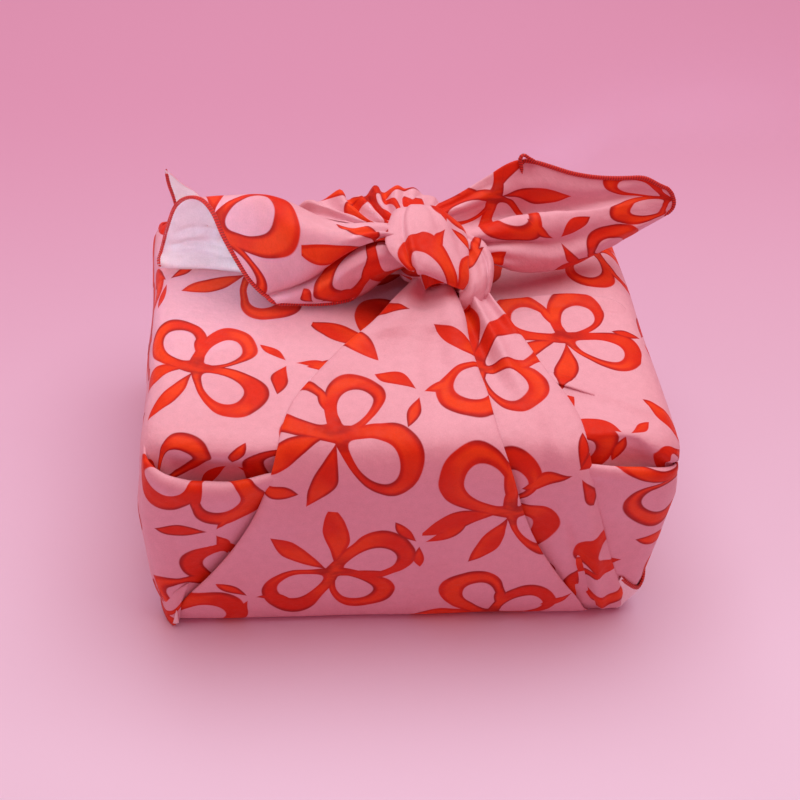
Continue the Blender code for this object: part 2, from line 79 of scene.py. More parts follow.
# ================================================================ curves
def spline(points, t):
    """Points of the smooth curve through the given ones, at t in whole and part steps from 0 to len - 1."""
    p = np.asarray(points, float)
    p = np.concatenate([2 * p[:1] - p[1:2], p, 2 * p[-1:] - p[-2:-1]])
    gap = np.linalg.norm((p[1:] - p[:-1]).reshape(len(p) - 1, -1), axis=1)
    gap = np.maximum(gap, 1e-7) ** 0.5
    t = np.clip(np.asarray(t, float), 0, len(p) - 3)
    i = np.minimum(t.astype(int), len(p) - 4)
    shape = (-1,) + (1,) * (p.ndim - 1)
    f = (t - i).reshape(shape)
    a, b, c, d = p[i], p[i + 1], p[i + 2], p[i + 3]
    before, here, after = (gap[i + k].reshape(shape) for k in range(3))
    leave = here * ((b - a) / before - (c - a) / (before + here)) + (c - b)
    arrive = here * ((d - c) / after - (d - b) / (here + after)) + (c - b)
    return (2 * f**3 - 3 * f**2 + 1) * b + (f**3 - 2 * f**2 + f) * leave + (3 * f**2 - 2 * f**3) * c + (f**3 - f**2) * arrive


def steps(counts):
    """Curve parameters with counts[i] steps in the i-th interval."""
    t = [0.0]
    for i, n in enumerate(counts):
        t += [i + (k + 1) / n for k in range(n)]
    return np.array(t)


def even(intervals, total):
    return np.linspace(0, intervals, total + 1)


def surface(rows, along, across):
    """Grid of points through a table of rows of points, at the given parameters along the table and across it."""
    rows = np.asarray(rows, float)
    wide = np.stack([spline(row, across) for row in rows])
    return np.stack([spline(wide[:, j], along) for j in range(wide.shape[1])], axis=1)


def smooth(lo, hi, x):
    t = np.clip((np.asarray(x, float) - lo) / (hi - lo), 0, 1)
    return t * t * (3 - 2 * t)


def bump(x, centre, width):
    return np.exp(-(((np.asarray(x, float) - centre) / width) ** 2))


def normals(P):
    du = np.gradient(P, axis=0)
    dv = np.gradient(P, axis=1)
    n = np.cross(du, dv)
    return n / np.maximum(np.linalg.norm(n, axis=2, keepdims=True), 1e-12)


def arc(points):
    return np.concatenate([[0], np.cumsum(np.linalg.norm(np.diff(points, axis=0), axis=1))])


def wander(P, seed, amplitude, wavelength=0.045, waves=9):
    """Soft uneven slack of hand-folded cloth: a fixed sum of plane waves."""
    rng = np.random.RandomState(seed)
    total = np.zeros(P.shape[:2])
    for _ in range(waves):
        direction = rng.normal(size=3)
        direction /= np.linalg.norm(direction)
        k = 2 * math.pi / (wavelength * rng.uniform(0.6, 1.7))
        total += np.sin(k * (P @ direction) + rng.uniform(0, 2 * math.pi))
    return total * amplitude / math.sqrt(waves)


# ================================================================ sheets
PRINTED, REVERSE, THREAD = 0, 1, 2
CLOTH = 0.0006


def filled_out(P):
    """Low down, the bundle's sides bulge past the box's taper, more on the right than on the left."""
    P = P.copy()
    x, z = P[..., 0], P[..., 2]
    right = 0.0048 * smooth(0.072, 0.112, x) * (0.25 + 0.75 * smooth(0.004, 0.020, z)) * (1 - 0.55 * smooth(0.080, 0.103, z) - 0.45 * smooth(0.106, 0.117, z))
    left = 0.0042 * smooth(0.072, 0.112, -x) * (0.55 + 0.45 * smooth(0.004, 0.030, z)) * (1 - smooth(0.066, 0.098, z))
    P[..., 0] = x + right - left
    return P


made = []


def sheet(name, P, face, uv=None, turn=0.0, shift=(0.0, 0.0), thickness=CLOTH, weld=0.0):
    """A sheet on a grid of points. face is a point on the side that its printed face looks to; None if the grid's rows
    and columns already turn that way."""
    rows, columns = P.shape[:2]
    P = filled_out(P)
    P[..., 2] = np.maximum(P[..., 2], 0.0003)
    if uv is None:
        mid_row, mid_column = rows // 2, columns // 2
        v = arc(P[:, mid_column])
        u = np.stack([arc(row) - arc(row)[mid_column] for row in P])
        uv = np.stack([u, np.broadcast_to(v[:, None], u.shape)], axis=2)
    c, s = math.cos(turn), math.sin(turn)
    uv = np.stack([uv[..., 0] * c - uv[..., 1] * s + shift[0], uv[..., 0] * s + uv[..., 1] * c + shift[1]], axis=2)
    mesh = bpy.data.meshes.new(name)
    index = np.arange(rows * columns).reshape(rows, columns)
    quads = np.stack([index[:-1, :-1], index[:-1, 1:], index[1:, 1:], index[1:, :-1]], axis=2).reshape(-1, 4)
    i, j = rows // 2, columns // 2
    a, b = P[i, j + 1] - P[i, j], P[i + 1, j] - P[i, j]
    if face is not None and np.dot(np.cross(a, b), np.asarray(face, float) - P[i, j]) < 0:
        quads = quads[:, ::-1]
    mesh.from_pydata(P.reshape(-1, 3).tolist(), [], quads.tolist())
    layer = mesh.uv_layers.new(name="UVMap")
    loops = np.empty(len(mesh.loops), dtype=np.int64)
    mesh.loops.foreach_get("vertex_index", loops)
    layer.data.foreach_set("uv", uv.reshape(-1, 2)[loops].astype(np.float32).ravel())
    mesh.polygons.foreach_set("use_smooth", [True] * len(mesh.polygons))
    obj = bpy.data.objects.new(name, mesh)
    bpy.context.scene.collection.objects.link(obj)
    if weld:
        bm = bmesh.new()
        bm.from_mesh(mesh)
        bmesh.ops.remove_doubles(bm, verts=bm.verts, dist=weld)
        bm.to_mesh(mesh)
        bm.free()
    if thickness:
        solid = obj.modifiers.new("thickness", "SOLIDIFY")
        solid.thickness = thickness
        solid.offset = -1.0
        solid.material_offset = REVERSE
        solid.use_even_offset = False
    made.append(obj)
    return obj


# ================================================================ the bundle's skin
Section = namedtuple("Section", "z half_width half_depth corner")
SKIN = [
    Section(0.0007, 0.0016, 0.0008, 0.0006),
    Section(0.0007, 0.0500, 0.0330, 0.0080),
    Section(0.0007, 0.1050, 0.0835, 0.0060),
    Section(0.0010, 0.1104, 0.0888, 0.0062),
    Section(0.0030, 0.1128, 0.0908, 0.0070),
    Section(0.0090, 0.1146, 0.0918, 0.0090),
    Section(0.0280, 0.1174, 0.0932, 0.0118),
    Section(0.0560, 0.1199, 0.0944, 0.0130),
    Section(0.0850, 0.1210, 0.0952, 0.0135),
    Section(0.1010, 0.1208, 0.0950, 0.0140),
    Section(0.1090, 0.1197, 0.0936, 0.0145),
    Section(0.1140, 0.1170, 0.0908, 0.0150),
    Section(0.1168, 0.1125, 0.0868, 0.0155),
    Section(0.1180, 0.1050, 0.0800, 0.0150),
    Section(0.1186, 0.0800, 0.0560, 0.0120),
    Section(0.1188, 0.0400, 0.0260, 0.0080),
    Section(0.1188, 0.0016, 0.0008, 0.0006),
]
SKIN_STEPS = steps([2, 3, 2, 2, 3, 4, 6, 6, 7, 7, 6, 5, 5, 9, 7, 3])
TOP = 0.1188

# At each upright edge the side's cloth turns on to the front or back as a gusset, and its upper border is a rolled
# fold. c is the way round from where the side starts to turn, z the fold's height, stand how far the roll stands
# out, pocket how far the skin behind it draws in, span how high that pocket opens, bulge how far the skin above
# it hangs out.
Fold = namedtuple("Fold", "c z stand pocket span bulge")
FOLDS = {
    "front_left": [
        Fold(0.0000, 0.1110, 0.0000, 0.0000, 0.0100, 0.0010),
        Fold(0.0053, 0.1092, 0.0006, 0.0004, 0.0105, 0.0012),
        Fold(0.0095, 0.1076, 0.0018, 0.0016, 0.0115, 0.0014),
        Fold(0.0143, 0.1055, 0.0030, 0.0036, 0.0125, 0.0012),
        Fold(0.0197, 0.1036, 0.0040, 0.0056, 0.0135, 0.0008),
        Fold(0.0288, 0.1005, 0.0050, 0.0066, 0.0140, 0.0010),
        Fold(0.0458, 0.0997, 0.0050, 0.0066, 0.0140, 0.0010),
        Fold(0.0548, 0.1013, 0.0040, 0.0056, 0.0130, 0.0008),
        Fold(0.0638, 0.1038, 0.0024, 0.0040, 0.0120, 0.0004),
        Fold(0.0780, 0.1070, 0.0010, 0.0020, 0.0100, 0.0000),
    ],
    "front_right": [
        Fold(0.0000, 0.1000, 0.0000, 0.0000, 0.0016, 0.0004),
        Fold(0.0048, 0.0998, 0.0008, 0.0000, 0.0016, 0.0010),
        Fold(0.0100, 0.1014, 0.0018, 0.0000, 0.0018, 0.0022),
        Fold(0.0140, 0.1026, 0.0024, 0.0008, 0.0036, 0.0022),
        Fold(0.0180, 0.1034, 0.0028, 0.0028, 0.0080, 0.0008),
        Fold(0.0240, 0.1041, 0.0032, 0.0054, 0.0140, -0.0018),
        Fold(0.0330, 0.1046, 0.0032, 0.0054, 0.0140, -0.0018),
        Fold(0.0483, 0.1066, 0.0028, 0.0034, 0.0100, -0.0004),
        Fold(0.0640, 0.1092, 0.0014, 0.0016, 0.0060, 0.0000),
    ],
    "back_left": [
        Fold(0.0000, 0.1150, 0.0000, 0.0000, 0.0080, 0.0000),
        Fold(0.0060, 0.1118, 0.0006, 0.0010, 0.0100, 0.0004),
        Fold(0.0130, 0.1078, 0.0022, 0.0032, 0.0110, 0.0010),
        Fold(0.0200, 0.1040, 0.0036, 0.0048, 0.0120, 0.0010),
        Fold(0.0300, 0.1016, 0.0042, 0.0056, 0.0130, 0.0010),
        Fold(0.0440, 0.1012, 0.0040, 0.0054, 0.0130, 0.0008),
        Fold(0.0560, 0.1030, 0.0028, 0.0040, 0.0120, 0.0004),
        Fold(0.0700, 0.1060, 0.0012, 0.0020, 0.0100, 0.0000),
    ],
    "back_right": [
        Fold(0.0000, 0.1168, 0.0000, 0.0000, 0.0100, 0.0000),
        Fold(0.0060, 0.1136, 0.0006, 0.0008, 0.0110, 0.0002),
        Fold(0.0120, 0.1090, 0.0022, 0.0032, 0.0120, 0.0006),
        Fold(0.0190, 0.1042, 0.0040, 0.0052, 0.0130, 0.0010),
        Fold(0.0280, 0.1008, 0.0048, 0.0062, 0.0140, 0.0010),
        Fold(0.0420, 0.0998, 0.0048, 0.0062, 0.0140, 0.0010),
        Fold(0.0540, 0.1018, 0.0034, 0.0048, 0.0130, 0.0006),
        Fold(0.0700, 0.1052, 0.0014, 0.0024, 0.0110, 0.0000),
    ],
}
HANDS = {"front_left": (-1, -1), "front_right": (1, -1), "back_left": (-1, 1), "back_right": (1, 1)}


def fold_at(name, c):
    """The fold's numbers at places round the edge, eased between the table's."""
    table = np.array([tuple(f) for f in FOLDS[name]])
    at = np.linspace(table[0, 0], table[-1, 0], 200)
    columns = []
    for k in range(1, table.shape[1]):
        line = np.interp(at, table[:, 0], table[:, k])
        for _ in range(30):
            line[1:-1] = (line[:-2] + 2 * line[1:-1] + line[2:]) / 4
        columns.append(np.interp(c, at, line))
    return columns


# How many steps the skin has round the bundle, from the middle of the front, counter-clockwise seen from above.
AROUND = {"front_right": 28, "corner_1": 11, "right": 44, "corner_2": 7, "back": 28, "corner_3": 7, "left": 30, "corner_4": 11, "front_left": 16}


def around(half_width, half_depth, corner):
    """A rounded rectangle from the middle of the front, counter-clockwise seen from above."""
    flat_x, flat_y = half_width - corner, half_depth - corner
    n = AROUND
    ring = [(flat_x * k / n["front_right"], -half_depth) for k in range(n["front_right"])]
    for which, sx, sy, start in ((1, 1, -1, -90), (2, 1, 1, 0), (3, -1, 1, 90), (4, -1, -1, 180)):
        for k in range(n[f"corner_{which}"]):
            a = math.radians(start + 90 * k / n[f"corner_{which}"])
            ring.append((sx * flat_x + corner * math.cos(a), sy * flat_y + corner * math.sin(a)))
        if which == 1:
            ring += [(half_width, -flat_y + 2 * flat_y * k / n["right"]) for k in range(n["right"])]
        elif which == 2:
            ring += [(flat_x - 2 * flat_x * k / n["back"], half_depth) for k in range(n["back"])]
        elif which == 3:
            ring += [(-half_width, flat_y - 2 * flat_y * k / n["left"]) for k in range(n["left"])]
        else:
            ring += [(-flat_x + flat_x * k / n["front_left"], -half_depth) for k in range(n["front_left"])]
    return ring


def section_at(z):
    table = np.array([tuple(s) for s in SKIN[3:13]])
    return [np.interp(z, table[:, 0], table[:, k]) for k in (1, 2, 3)]


def outline(name, c, z, off):
    """A point at c round an upright edge, at height z, off the skin by the given distance."""
    sx, sy = HANDS[name]
    w, d, r = section_at(z)
    off = off + fullness(name, c, z + 0 * c)
    angle = np.clip(c / r, 0, math.pi / 2)
    beyond = np.maximum(c - r * math.pi / 2, 0)
    before = np.minimum(c, 0)
    x = (w - r) + (r + off) * np.cos(angle) - beyond
    y = (d - r) + (r + off) * np.sin(angle) + before
    return np.stack([sx * x, sy * y, z + 0 * x], axis=-1)


def fullness(name, c, z):
    """How far the bundle bellies out near the folds at its upright edges."""
    if name.endswith("left"):
        return 0.0024 * bump(c, -0.004, 0.022) * bump(z, 0.098, 0.022)
    return 0.0014 * bump(c, -0.006, 0.020) * bump(z, 0.094, 0.022) if name == "front_right" else 0.0 * z


def draw_in(P):
    """Under the front panel's left edge the side's cloth draws in."""
    P = P.copy()
    edge = [(s.z, s.left) for s in FRONT_PANEL[3:9]]
    x = P[..., 0] - np.interp(P[..., 2], *zip(*edge))
    deep = 0.0030 * smooth(0.012, 0.030, P[..., 2]) * (1 - smooth(0.082, 0.100, P[..., 2])) * (P[..., 1] < -0.07)
    P[..., 1] += deep * smooth(-0.0120, -0.0005, x) * (1 - smooth(0.012, 0.024, x))
    return P


def top_lift(P, x, y, z):
    """On the top, drag lines run from the panel to the right corner and from the left tail to the left edge."""
    top = smooth(0.1150, 0.1182, z)
    lift = wander(P, 8, 0.00045, 0.05) * top
    line = np.interp(x, *zip(*DRAG_LINE))
    near = smooth(0.058, 0.070, x) * (1 - smooth(0.108, 0.117, x))
    lift += top * near * (0.0009 * bump(y - line, 0.0030, 0.0030) - 0.0014 * bump(y - line, -0.0050, 0.0055))
    drag = -0.030 + (x + 0.09) * 0.55
    lift += top * smooth(-0.112, -0.095, x) * (1 - smooth(-0.062, -0.050, x)) * (0.0007 * bump(y - drag, 0, 0.005) - 0.0006 * bump(y - drag, -0.009, 0.006))
    return lift


# Places (x, y) along two edges on the top's right part: where the front half lies over the back one, and a small
# fold that runs out of the panel towards the right corner.
BACK_LAP = [(0.0300, 0.0040), (0.0435, 0.0073), (0.0519, 0.0087), (0.0610, 0.0099), (0.0705, 0.0113), (0.0798, 0.0125), (0.0885, 0.0129), (0.0964, 0.0116), (0.1047, 0.0098), (0.1126, 0.0078), (0.1185, 0.0045)]
DRAG_LINE = [(0.0600, -0.0500), (0.0686, -0.0546), (0.0752, -0.0575), (0.0841, -0.0610), (0.0912, -0.0636), (0.0972, -0.0670), (0.1067, -0.0733)]


def lap(name, line, ahead, fade, columns, stand=1.0):
    """An edge that lies over the skin's top; away from the edge and past the fade it dips under the skin."""
    x = np.linspace(line[0][0], line[-1][0], columns)
    edge = np.interp(x, *zip(*line))
    for _ in range(3):
        edge[1:-1] = (edge[:-2] + 2 * edge[1:-1] + edge[2:]) / 4
    away = np.array([0.0, 0.0010, 0.0030, 0.0065, 0.0120])
    over = stand * np.array([0.0013, 0.0013, 0.0009, 0.0003, -0.0005])
    X = np.broadcast_to(x[None], (5, columns)).copy()
    Y = edge[None] + ahead * away[:, None]
    rim = [(s.half_width, s.z) for s in SKIN[15:9:-1]]
    Z = np.interp(X, *zip(*rim))
    off = -0.0005 + (over[:, None] + 0.0005) * (1 - smooth(*fade, X))
    P = np.stack([X, Y, Z], axis=2)
    P[..., 2] += top_lift(P, X, Y, Z) + off
    flat = np.stack([X + np.maximum(TOP - Z, 0), Y], axis=2)
    return sheet(name, P, P[2, columns // 2] + np.array([0, 0, 1.0]), flat, *SKIN_PRINT)


def skin():
    table = spline([tuple(s) for s in SKIN], SKIN_STEPS)
    P = np.array([[(x, y, z) for x, y in around(w, d, r)] for z, w, d, r in table])
    P = np.concatenate([P, P[:, :1]], axis=1)
    x, y, z = P[..., 0].copy(), P[..., 1].copy(), P[..., 2].copy()
    w, d, r = (np.broadcast_to(table[:, k : k + 1], x.shape) for k in (1, 2, 3))
    flat_x, flat_y = w - r, d - r
    angle = np.arctan2(np.maximum(np.abs(y) - flat_y, 0), np.maximum(np.abs(x) - flat_x, 1e-9))
    angle = np.where(np.abs(x) <= flat_x + 1e-9, np.where(np.abs(y) > flat_y, math.pi / 2, 0), angle)
    angle = np.where((np.abs(x) >= w - 1e-7) & (np.abs(y) <= flat_y), 0.0, angle)
    c = np.where(np.abs(y) <= flat_y, np.abs(y) - flat_y, r * angle + np.maximum(flat_x - np.abs(x), 0))
    out = np.stack([np.sign(x) * np.cos(angle), np.sign(y) * np.sin(angle), 0 * x], axis=2)
    wall = smooth(0.004, 0.02, z) * (1 - smooth(0.1145, 0.1175, z))
    push = wander(P, 3, 0.0007, 0.06) * wall
    push += 0.0010 * bump(c, -0.055, 0.03) * bump(z, 0.07, 0.03)
    push += np.where(x < 0, fullness("front_left", c, z), np.where(y < 0, fullness("front_right", c, z), 0))
    for name, (sx, sy) in HANDS.items():
        here = (np.sign(x) == sx) & (np.sign(y) == sy) & (z > 0.002) & (z < 0.1179)
        height, stand, pocket, span, bulge = fold_at(name, c)
        last = FOLDS[name][-1].c
        pocket, bulge = pocket * (1 - smooth(last, last + 0.012, c)), bulge * (1 - smooth(last, last + 0.012, c))
        t = z - height
        under = 0.0016 * smooth(0.006, 0.014, c)
        shut = 0.0012 + 0.0048 * smooth(0.008, 0.020, c)
        above = np.maximum(pocket * (1 - smooth(0.10 * span, span, t)), under * (1 - smooth(0.0, shut, t)))
        below = under + np.maximum(pocket - under, 0) * (1 - smooth(0.0, 0.018, -t))
        dent = np.where(t > 0, above, below) * smooth(0.0, 0.004, c) * smooth(0.002, 0.012, z)
        hang = bulge * smooth(0.10 * span, span, t) * (1 - smooth(0.1135, 0.1178, z)) * smooth(-0.012, 0.004, c)
        push = np.where(here, push - dent + hang, push)
    P = P + out * push[..., None]
    P[..., 2] += top_lift(P, x, y, z)
    P = draw_in(P)
    # unfolded length: the top as a cross, each side hanging from its own edge
    drop = np.maximum(TOP - z, 0)
    side = 1 - smooth(0.35, 0.75, angle / (math.pi / 2))
    u = x + np.sign(x) * drop * side
    v = y + np.sign(y) * drop * (1 - side)
    return sheet("skin", P, None, np.stack([u, v], axis=2), *SKIN_PRINT)


SKIN_PRINT = (0.35, (0.318, 0.232))
FLAP_STEPS = 14


def under_flap():
    """The other half's point of the cloth lies on the box, under the skin's top."""
    x = np.linspace(-0.104, 0.062, FLAP_STEPS)
    t = np.linspace(-1, 1, FLAP_STEPS)
    half = 0.078 - 0.050 * smooth(-0.06, 0.062, x)
    P = np.stack([np.broadcast_to(x[None], (FLAP_STEPS, FLAP_STEPS)), t[:, None] * half[None], np.full((FLAP_STEPS, FLAP_STEPS), 0.1166)], axis=2)
    return sheet("under_flap", P, P[7, 7] + np.array([0, 0, 1.0]), P[..., :2] + 0.3, 0.9, (0.1, 0.4))


# ================================================================ panels
# Where a panel's middle runs, up the bundle's front or back and over its top to the knot: its edges, the fold where
# the left part laps over the right one, and how far it lies off what is under it.
Station = namedtuple("Station", "y z left fold right crown")
FRONT_PANEL = [
    Station(-0.0690, 0.0022, -0.1020, 0.0985, 0.1060, 0.0008),
    Station(-0.0846, 0.0019, -0.1074, 0.0972, 0.1108, 0.0011),
    Station(-0.0900, 0.0032, -0.1106, 0.0938, 0.1126, 0.0018),
    Station(-0.0918, 0.0130, -0.1058, 0.0873, 0.1078, 0.0028),
    Station(-0.0938, 0.0350, -0.0920, 0.0743, 0.0990, 0.0036),
    Station(-0.0951, 0.0590, -0.0797, 0.0610, 0.0920, 0.0038),
    Station(-0.0959, 0.0820, -0.0705, 0.0515, 0.0857, 0.0037),
    Station(-0.0955, 0.1020, -0.0648, 0.0450, 0.0812, 0.0034),
    Station(-0.0905, 0.1140, -0.0615, 0.0395, 0.0785, 0.0033),
    Station(-0.0790, 0.1180, -0.0585, 0.0368, 0.0765, 0.0032),
    Station(-0.0640, 0.1188, -0.0530, 0.0355, 0.0725, 0.0036),
    Station(-0.0480, 0.1196, -0.0425, 0.0327, 0.0655, 0.0050),
    Station(-0.0320, 0.1214, -0.0300, 0.0302, 0.0590, 0.0070),
    Station(-0.0175, 0.1248, -0.0150, 0.0292, 0.0520, 0.0084),
    Station(-0.0050, 0.1292, -0.0045, 0.0262, 0.0445, 0.0076),
    Station(0.0060, 0.1340, 0.0058, 0.0230, 0.0390, 0.0050),
    Station(0.0150, 0.1380, 0.0080, 0.0210, 0.0330, 0.0040),
]
BACK_PANEL = [
    Station(0.0690, 0.0022, -0.1000, 0.0940, 0.1010, 0.0008),
    Station(0.0830, 0.0019, -0.1050, 0.0920, 0.1060, 0.0010),
    Station(0.0888, 0.0036, -0.1085, 0.0870, 0.1080, 0.0013),
    Station(0.0918, 0.0130, -0.1055, 0.0760, 0.1050, 0.0019),
    Station(0.0938, 0.0350, -0.0955, 0.0500, 0.0950, 0.0025),
    Station(0.0951, 0.0590, -0.0850, 0.0330, 0.0840, 0.0030),
    Station(0.0959, 0.0820, -0.0765, 0.0240, 0.0755, 0.0033),
    Station(0.0955, 0.1020, -0.0700, 0.0200, 0.0690, 0.0034),
    Station(0.0905, 0.1140, -0.0655, 0.0190, 0.0650, 0.0033),
    Station(0.0800, 0.1186, -0.0605, 0.0180, 0.0615, 0.0040),
    Station(0.0700, 0.1226, -0.0510, 0.0180, 0.0560, 0.0062),
    Station(0.0610, 0.1300, -0.0370, 0.0170, 0.0500, 0.0086),
    Station(0.0520, 0.1380, -0.0190, 0.0160, 0.0430, 0.0088),
    Station(0.0400, 0.1425, -0.0050, 0.0150, 0.0370, 0.0070),
    Station(0.0270, 0.1440, 0.0020, 0.0160, 0.0340, 0.0040),
]
# A pleat is a ridge (or, below zero, a valley) on a panel, from a station near the knot to one lower down: how far
# across it lies at each, how wide it is and how high at the knot's end, and at the other.
Pleat = namedtuple("Pleat", "first last x_first x_last width height end")
FRONT_PLEATS = [
    Pleat(14.6, 8.8, 0.0300, 0.0575, 0.0028, 0.0042, 0.0),
    Pleat(14.6, 9.4, 0.0268, 0.0470, 0.0026, -0.0032, 0.0),
    Pleat(14.6, 11.2, 0.0360, 0.0590, 0.0028, -0.0022, 0.0),
    Pleat(14.6, 12.0, 0.0395, 0.0560, 0.0018, 0.0016, 0.0),
    Pleat(14.6, 7.8, 0.0205, 0.0245, 0.0044, 0.0024, 0.0),
    Pleat(12.4, 7.4, 0.0146, 0.0120, 0.0060, -0.0013, 0.0),
    Pleat(13.2, 7.6, 0.0066, -0.0100, 0.0070, 0.0018, 0.0),
    Pleat(12.2, 8.4, -0.0090, -0.0330, 0.0080, -0.0012, 0.0),
    Pleat(14.6, 11.4, 0.0130, 0.0010, 0.0036, -0.0018, 0.0),
    Pleat(14.6, 11.2, 0.0060, -0.0120, 0.0050, 0.0020, 0.0),
    Pleat(14.2, 12.2, -0.0010, -0.0200, 0.0030, -0.0012, 0.0),
    Pleat(7.0, 2.6, 0.0755, 0.0985, 0.0026, 0.0014, 0.0030),
    Pleat(6.0, 2.6, 0.0722, 0.0945, 0.0026, -0.0014, -0.0026),
    Pleat(7.8, 4.8, 0.0655, 0.0760, 0.0050, 0.0022, 0.0010),
    Pleat(9.6, 5.6, 0.0520, 0.0640, 0.0055, -0.0017, -0.0010),
    Pleat(5.2, 2.8, 0.0880, 0.0925, 0.0022, 0.0014, 0.0020),
    Pleat(4.4, 3.0, 0.0800, 0.0850, 0.0040, -0.0010, -0.0014),
    Pleat(8.6, 3.6, 0.0120, -0.0150, 0.0160, 0.0012, 0.0008),
    Pleat(8.6, 3.6, -0.0350, -0.0560, 0.0140, -0.0010, -0.0006),
]
BACK_PLEATS = [
    Pleat(13.6, 9.6, 0.0250, 0.0400, 0.0036, 0.0030, 0.0),
    Pleat(13.6, 10.2, 0.0290, 0.0470, 0.0030, -0.0018, 0.0),
    Pleat(13.6, 9.8, 0.0095, -0.0060, 0.0040, 0.0030, 0.0),
    Pleat(13.6, 9.2, 0.0045, -0.0200, 0.0036, -0.0022, 0.0),
    Pleat(13.6, 8.6, 0.0200, 0.0230, 0.0045, -0.0016, 0.0),
    Pleat(13.6, 9.8, 0.0150, 0.0080, 0.0036, 0.0018, 0.0),
]


def outward(stations, lie):
    path = np.array([(s.y, s.z) for s in stations])
    ahead = np.gradient(path, axis=0)
    ahead /= np.linalg.norm(ahead, axis=1, keepdims=True)
    return np.stack([-ahead[:, 1], ahead[:, 0]], axis=1) * lie


def left_profile(s):
    """Across the left part, from inside its left edge, round the edge, over its face and round the lapping fold."""
    w, k = s.fold - s.left, s.crown
    back = min(0.026, 0.45 * w)
    return [
        (s.left + back, -0.0001), (s.left + back * 0.45, 0.0000), (s.left + 0.0030, 0.0001), (s.left + 0.0004, 0.0004 + 0.10 * k),
        (s.left + 0.0001, 0.0007 + 0.32 * k), (s.left + min(0.0022, 0.05 * w), 0.0009 + 0.62 * k), (s.left + min(0.0080, 0.14 * w), 0.0009 + 0.74 * k), (s.left + 0.22 * w, 0.0009 + 0.82 * k),
        (s.left + 0.45 * w, 0.0009 + 0.90 * k), (s.left + 0.70 * w, 0.0009 + 0.96 * k), (s.left + 0.88 * w, 0.0010 + 1.02 * k), (s.fold - min(0.0024, 0.06 * w), 0.0010 + 1.04 * k),
        (s.fold - 0.0003, 0.0008 + 0.90 * k), (s.fold - 0.0012, 0.0006 + 0.62 * k), (s.fold - 0.0050, 0.0006 + 0.56 * k), (s.fold - 0.0120, 0.0005 + 0.54 * k),
    ]


def right_profile(s):
    w, k = s.right - s.fold, s.crown
    back = min(0.022, 0.6 * w)
    return [
        (s.fold - 0.0110, 0.0002 + 0.30 * k), (s.fold - 0.0010, 0.0002 + 0.30 * k), (s.fold + 0.10 * w, 0.0003 + 0.34 * k), (s.fold + 0.35 * w, 0.0005 + 0.52 * k),
        (s.fold + 0.62 * w, 0.0006 + 0.66 * k), (s.fold + 0.85 * w, 0.0007 + 0.70 * k), (s.right - min(0.0026, 0.08 * w), 0.0006 + 0.62 * k), (s.right - 0.0002, 0.0003 + 0.40 * k),
        (s.right - 0.0004, 0.0000 + 0.16 * k), (s.right - 0.0034, -0.0003), (s.right - back * 0.5, -0.0005), (s.right - back, -0.0006),
    ]


LEFT_COUNTS = [1, 2, 3, 2, 3, 3, 6, 8, 8, 8, 4, 3, 3, 2, 1]
RIGHT_COUNTS = [1, 3, 6, 7, 6, 4, 3, 2, 3, 2, 1]


